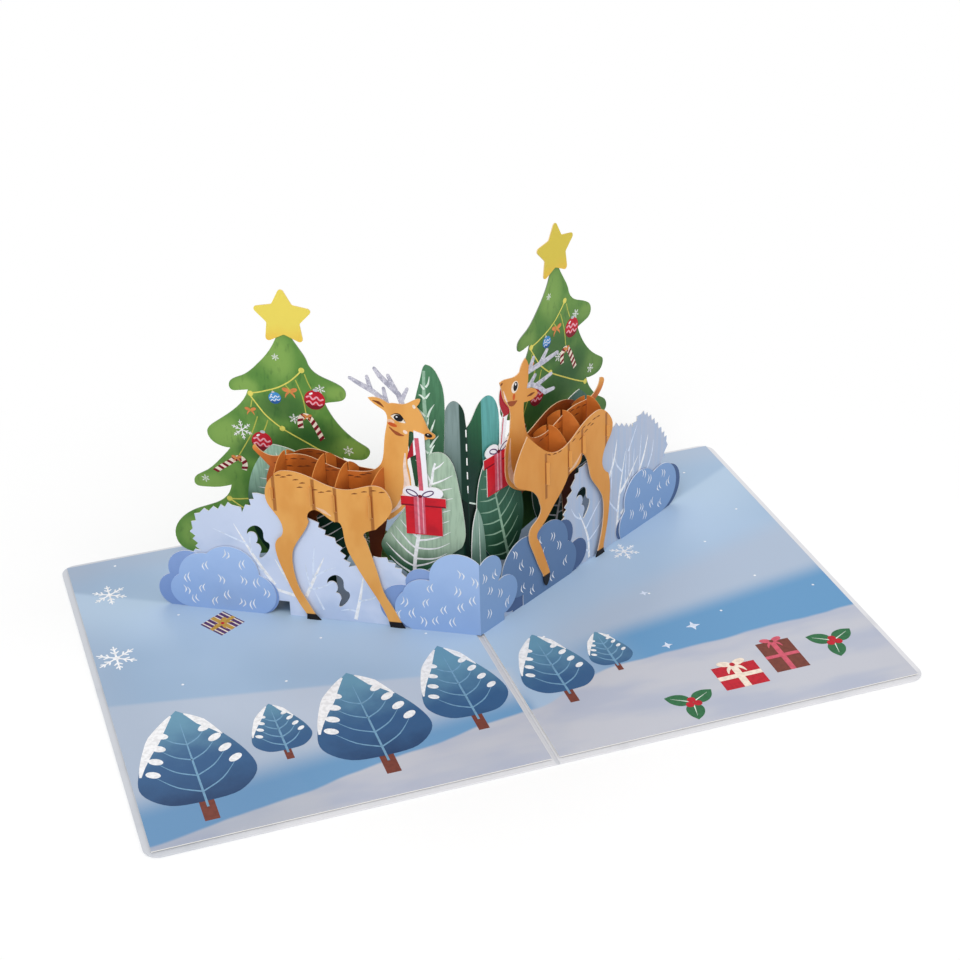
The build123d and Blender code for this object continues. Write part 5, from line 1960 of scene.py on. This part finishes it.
    def head(self, head: Print, marks: Markings, side: int) -> None:
        """Print one face: eye, blush, mouth, nose, ear and chest.

        Args:
            head: the face's print.
            marks: where the markings are.
            side: the deer's wing.
        """
        across, up = marks.eye
        if side == LEFT:
            almond = [(-3.1, 0.1), (-1.6, 1.45), (0.6, 1.5), (3.2, -1.1), (0.8, -1.55), (-1.7, -1.0)]
            head.shape(Ink.CREAM, moved(smooth(almond, 4), across, up, marks.eye_turn))
            lid = [(-3.0, 0.2), (-1.5, 1.5), (0.7, 1.5), (3.3, -1.2)]
            head.shape(Ink.BLACK, moved(brush(lid, 0.5), across, up, marks.eye_turn), 2)
            head.shape(Ink.BLACK, oval(across + 0.1, up, 1.85, 1.4, -18, 20), 1)
            head.shape(Ink.WHITE, oval(across - 0.6, up + 0.5, 0.36, 0.32, 0, 10), 3)
            head.shape(Ink.CHEST, oval(-30.0, 89.4, 1.5, 0.9, -12, 14))
        else:
            head.shape(Ink.CREAM, oval(across - 0.2, up, 2.1, 2.5, -10, 22))
            head.shape(Ink.BLACK, oval(across + 0.2, up + 0.1, 1.3, 1.9, -10, 20), 1)
            head.shape(Ink.WHITE, oval(across + 0.3, up + 1.0, 0.4, 0.5, 0, 10), 2)
        blush_across, blush_up, blush_turn = marks.blush
        wide = 1.9 if side == LEFT else 1.4
        head.shape(Ink.BLUSH, oval(blush_across, blush_up, wide, 0.8, blush_turn, 16), 1)
        head.shape(Ink.DASH, brush(marks.ear, 1.2, steps=3))
        if side == LEFT:
            head.shape(Ink.SMILE, brush(marks.mouth, 1.6), 1)
            head.shape(Ink.PALE_CHEST, brush(marks.chest, 2.8))
            head.shape(Ink.BLACK, oval(-15.4, 84.5, 1.5, 0.95, -8, 18), 1)
            head.shape(Ink.WHITE, oval(-15.6, 84.9, 0.3, 0.18, 0, 8), 2)
            head.shape(Ink.PALE_CHEST, oval(-24.5, 85.2, 1.0, 0.7, -40, 14))
            head.shape(Ink.CREAM, oval(-20.6, 96.4, 0.6, 0.9, 20, 10))
        else:
            smile = [*marks.mouth, (27.8, 89.2), (25.6, 90.0)]
            head.shape(Ink.SMILE, smooth(smile, 3), 1)
            head.shape(Ink.CHEST, brush(marks.chest, 3.2))
            head.shape(Ink.DASH, oval(20.4, 99.3, 0.7, 0.45, 20, 12), 1)
            head.shape(Ink.PALE_CHEST, stroke([(21.4, 96), (22.4, 92.6), (24.4, 88.6)], 1.0, Taper.BOTH))
        head.press()

    def gift(self, name: str, side: int, lid: Point) -> None:
        """Print the ribbon, bow and lid line of one gift.

        Args:
            name: the deer's name.
            side: its wing.
            lid: the middle of the lid.
        """
        depth = self.middle_depth + side * self.fold.sheet
        across, up = lid
        top, foot = up + self.lid_height / 2, up - self.lid_height / 2
        bottom = foot - self.gift_height + 0.4
        middle = across - 1.2 if side == LEFT else across
        half = self.lid_width / 2 - 0.3
        for box in self.sheets(f"{name}_gift_ribbon", side, depth, "gift_red"):
            box.shape(Ink.DARK_RED, stroke([(across - half, foot + 0.3), (across + half, foot + 0.3)], 0.6))
            for offset, wide, ink in ((-0.4, 4.4, Ink.ROSE), (-0.9, 0.7, Ink.PINK), (0.9, 0.4, Ink.PINK)):
                line = [(middle + offset, bottom), (middle + offset, top)]
                box.shape(ink, stroke(line, wide), 1 if ink is Ink.ROSE else 2)
            for turn in (-1, 1):
                loop = oval(middle + turn * 3.2, top + 1.6, 2.4, 1.0, turn * 26, 18)
                box.shape(Ink.PURPLE, stroke([*loop, loop[0]], 0.5), 1)
            box.shape(Ink.DARK_RED, oval(middle, top + 0.3, 0.9, 0.7, 0, 12), 2)
            if side == LEFT:
                box.shape(Ink.ROSE, stroke([(-19.4, 60.2), (-19.8, 72), (-20.4, 83.2)], 1.7))
            else:
                box.shape(Ink.ROSE, stroke([(19.5, 73.4), (20.4, 79), (21.2, 84.2)], 0.6))
            box.press()


@dataclass
class Studio:
    """Pale floor, soft lamps and the photograph's viewpoint."""

    heading: float = 17.83
    pitch: float = 29.5
    roll: float = -1.79
    lens: float = 74.03
    camera_at: tuple[float, float, float] = (-197.9, -633.6, 440.6)
    floor_reach: float = 4000.0
    floor_drop: float = 0.05
    card_reach: float = 155.0
    white_reach: float = 300.0
    world_light: float = 0.54
    sensor: float = 36.0
    clip: float = 0.02
    lamps: tuple = (
        ("key", (-1500, -2500, 3000), 2000, 79.0),
        ("fill", (2400, -1100, 1500), 2200, 15.0),
        ("rear", (500, 2400, 2100), 2200, 19.0),
    )

    def build(self) -> None:
        """Lay the floor, hang the lamps and set the camera."""
        self.floor()
        self.sky()
        for lamp in self.lamps:
            self.lamp(*lamp)
        self.camera()

    def floor(self) -> None:
        """Lay the floor: white paper near the card and plain white far off."""
        bpy.ops.object.select_all(action="DESELECT")
        bpy.ops.mesh.primitive_grid_add(x_subdivisions=8, y_subdivisions=8, size=self.floor_reach * MM)
        floor = bpy.context.object
        floor.location.z = -self.floor_drop * MM
        bpy.ops.object.transform_apply(location=True, rotation=True, scale=True)
        floor.name = "studio_floor"
        shade = Shade("studio_floor")
        diffuse = shade.node("ShaderNodeBsdfDiffuse", None, {"Color": tone(255, 255, 255)})
        glow = shade.node("ShaderNodeEmission", None, {"Color": (1, 1, 1, 1), "Strength": 1.0})
        length = shade.node("ShaderNodeVectorMath", {"operation": "LENGTH"}, {0: shade.place})
        far = shade.rise(Socket(shade, length.outputs["Value"]), self.card_reach, self.white_reach)
        path = shade.node("ShaderNodeLightPath").outputs
        rays = [Socket(shade, path[name]) for name in ("Is Camera Ray", "Is Glossy Ray")]
        seen = shade.maths("MAXIMUM", *rays)
        both = shade.node("ShaderNodeMixShader", None, {
            0: far * seen, 1: Socket(shade, diffuse.outputs[0]), 2: Socket(shade, glow.outputs[0]),
        })
        shade.tree.links.new(both.outputs[0], shade.output.inputs["Surface"])
        floor.data.materials.append(shade.material)

    def sky(self) -> None:
        """Light the studio evenly and show it white to the camera."""
        world = bpy.data.worlds.new("studio")
        bpy.context.scene.world = world
        world.use_nodes = True
        tree = world.node_tree
        tree.nodes.clear()
        kinds = ("OutputWorld", "MixShader", "LightPath")
        output, choice, path = (tree.nodes.new(f"ShaderNode{kind}") for kind in kinds)
        tree.links.new(path.outputs["Is Camera Ray"], choice.inputs[0])
        for place, strength in ((1, self.world_light), (2, 1.0)):
            light = tree.nodes.new("ShaderNodeBackground")
            light.inputs["Color"].default_value = (1, 1, 1, 1)
            light.inputs["Strength"].default_value = strength
            tree.links.new(light.outputs[0], choice.inputs[place])
        tree.links.new(choice.outputs[0], output.inputs["Surface"])

    @staticmethod
    def lamp(name: str, place: tuple[float, float, float], size: float, power: float) -> None:
        """Hang a square soft lamp that looks at the card.

        Args:
            name: its name.
            place: where it hangs, in millimetres.
            size: its side.
            power: its power in watts.
        """
        data = bpy.data.lights.new(name, "AREA")
        data.size = size * MM
        data.energy = power
        lamp = bpy.data.objects.new(name, data)
        bpy.context.scene.collection.objects.link(lamp)
        lamp.location = Vector(place) * MM
        lamp.rotation_euler = (-Vector(place)).to_track_quat("-Z", "Y").to_euler()

    def camera(self) -> None:
        """Set the camera at the photograph's viewpoint."""
        heading, pitch, roll = (math.radians(angle) for angle in (self.heading, self.pitch, self.roll))
        level_reach = math.cos(pitch)
        ahead = Vector((math.sin(heading) * level_reach, math.cos(heading) * level_reach, -math.sin(pitch)))
        level = Vector((math.cos(heading), -math.sin(heading), 0))
        above = level.cross(ahead)
        across = level * math.cos(roll) + above * math.sin(roll)
        up = above * math.cos(roll) - level * math.sin(roll)
        data = bpy.data.cameras.new("photo_view")
        data.lens = self.lens
        data.sensor_width = self.sensor
        data.clip_start = self.clip
        camera = bpy.data.objects.new("photo_view", data)
        bpy.context.scene.collection.objects.link(camera)
        turn = Matrix((across, up, -ahead)).transposed().to_4x4()
        camera.matrix_world = Matrix.Translation(Vector(self.camera_at) * MM) @ turn
        bpy.context.scene.camera = camera


def main() -> None:
    """Dress the card and set up the studio."""
    logging.basicConfig(level=logging.INFO, format="%(message)s")
    bpy.context.scene.view_settings.view_transform = "Standard"
    bpy.ops.object.select_all(action="DESELECT")
    fold, shelf = Fold.measured(), InkShelf()
    for group in (Spread, FrostWall, Clouds, CreaseLeaves, FirTrees, Deer):
        group(fold, shelf).build()
    Studio().build()
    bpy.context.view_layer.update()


if __name__ == "__main__":
    main()
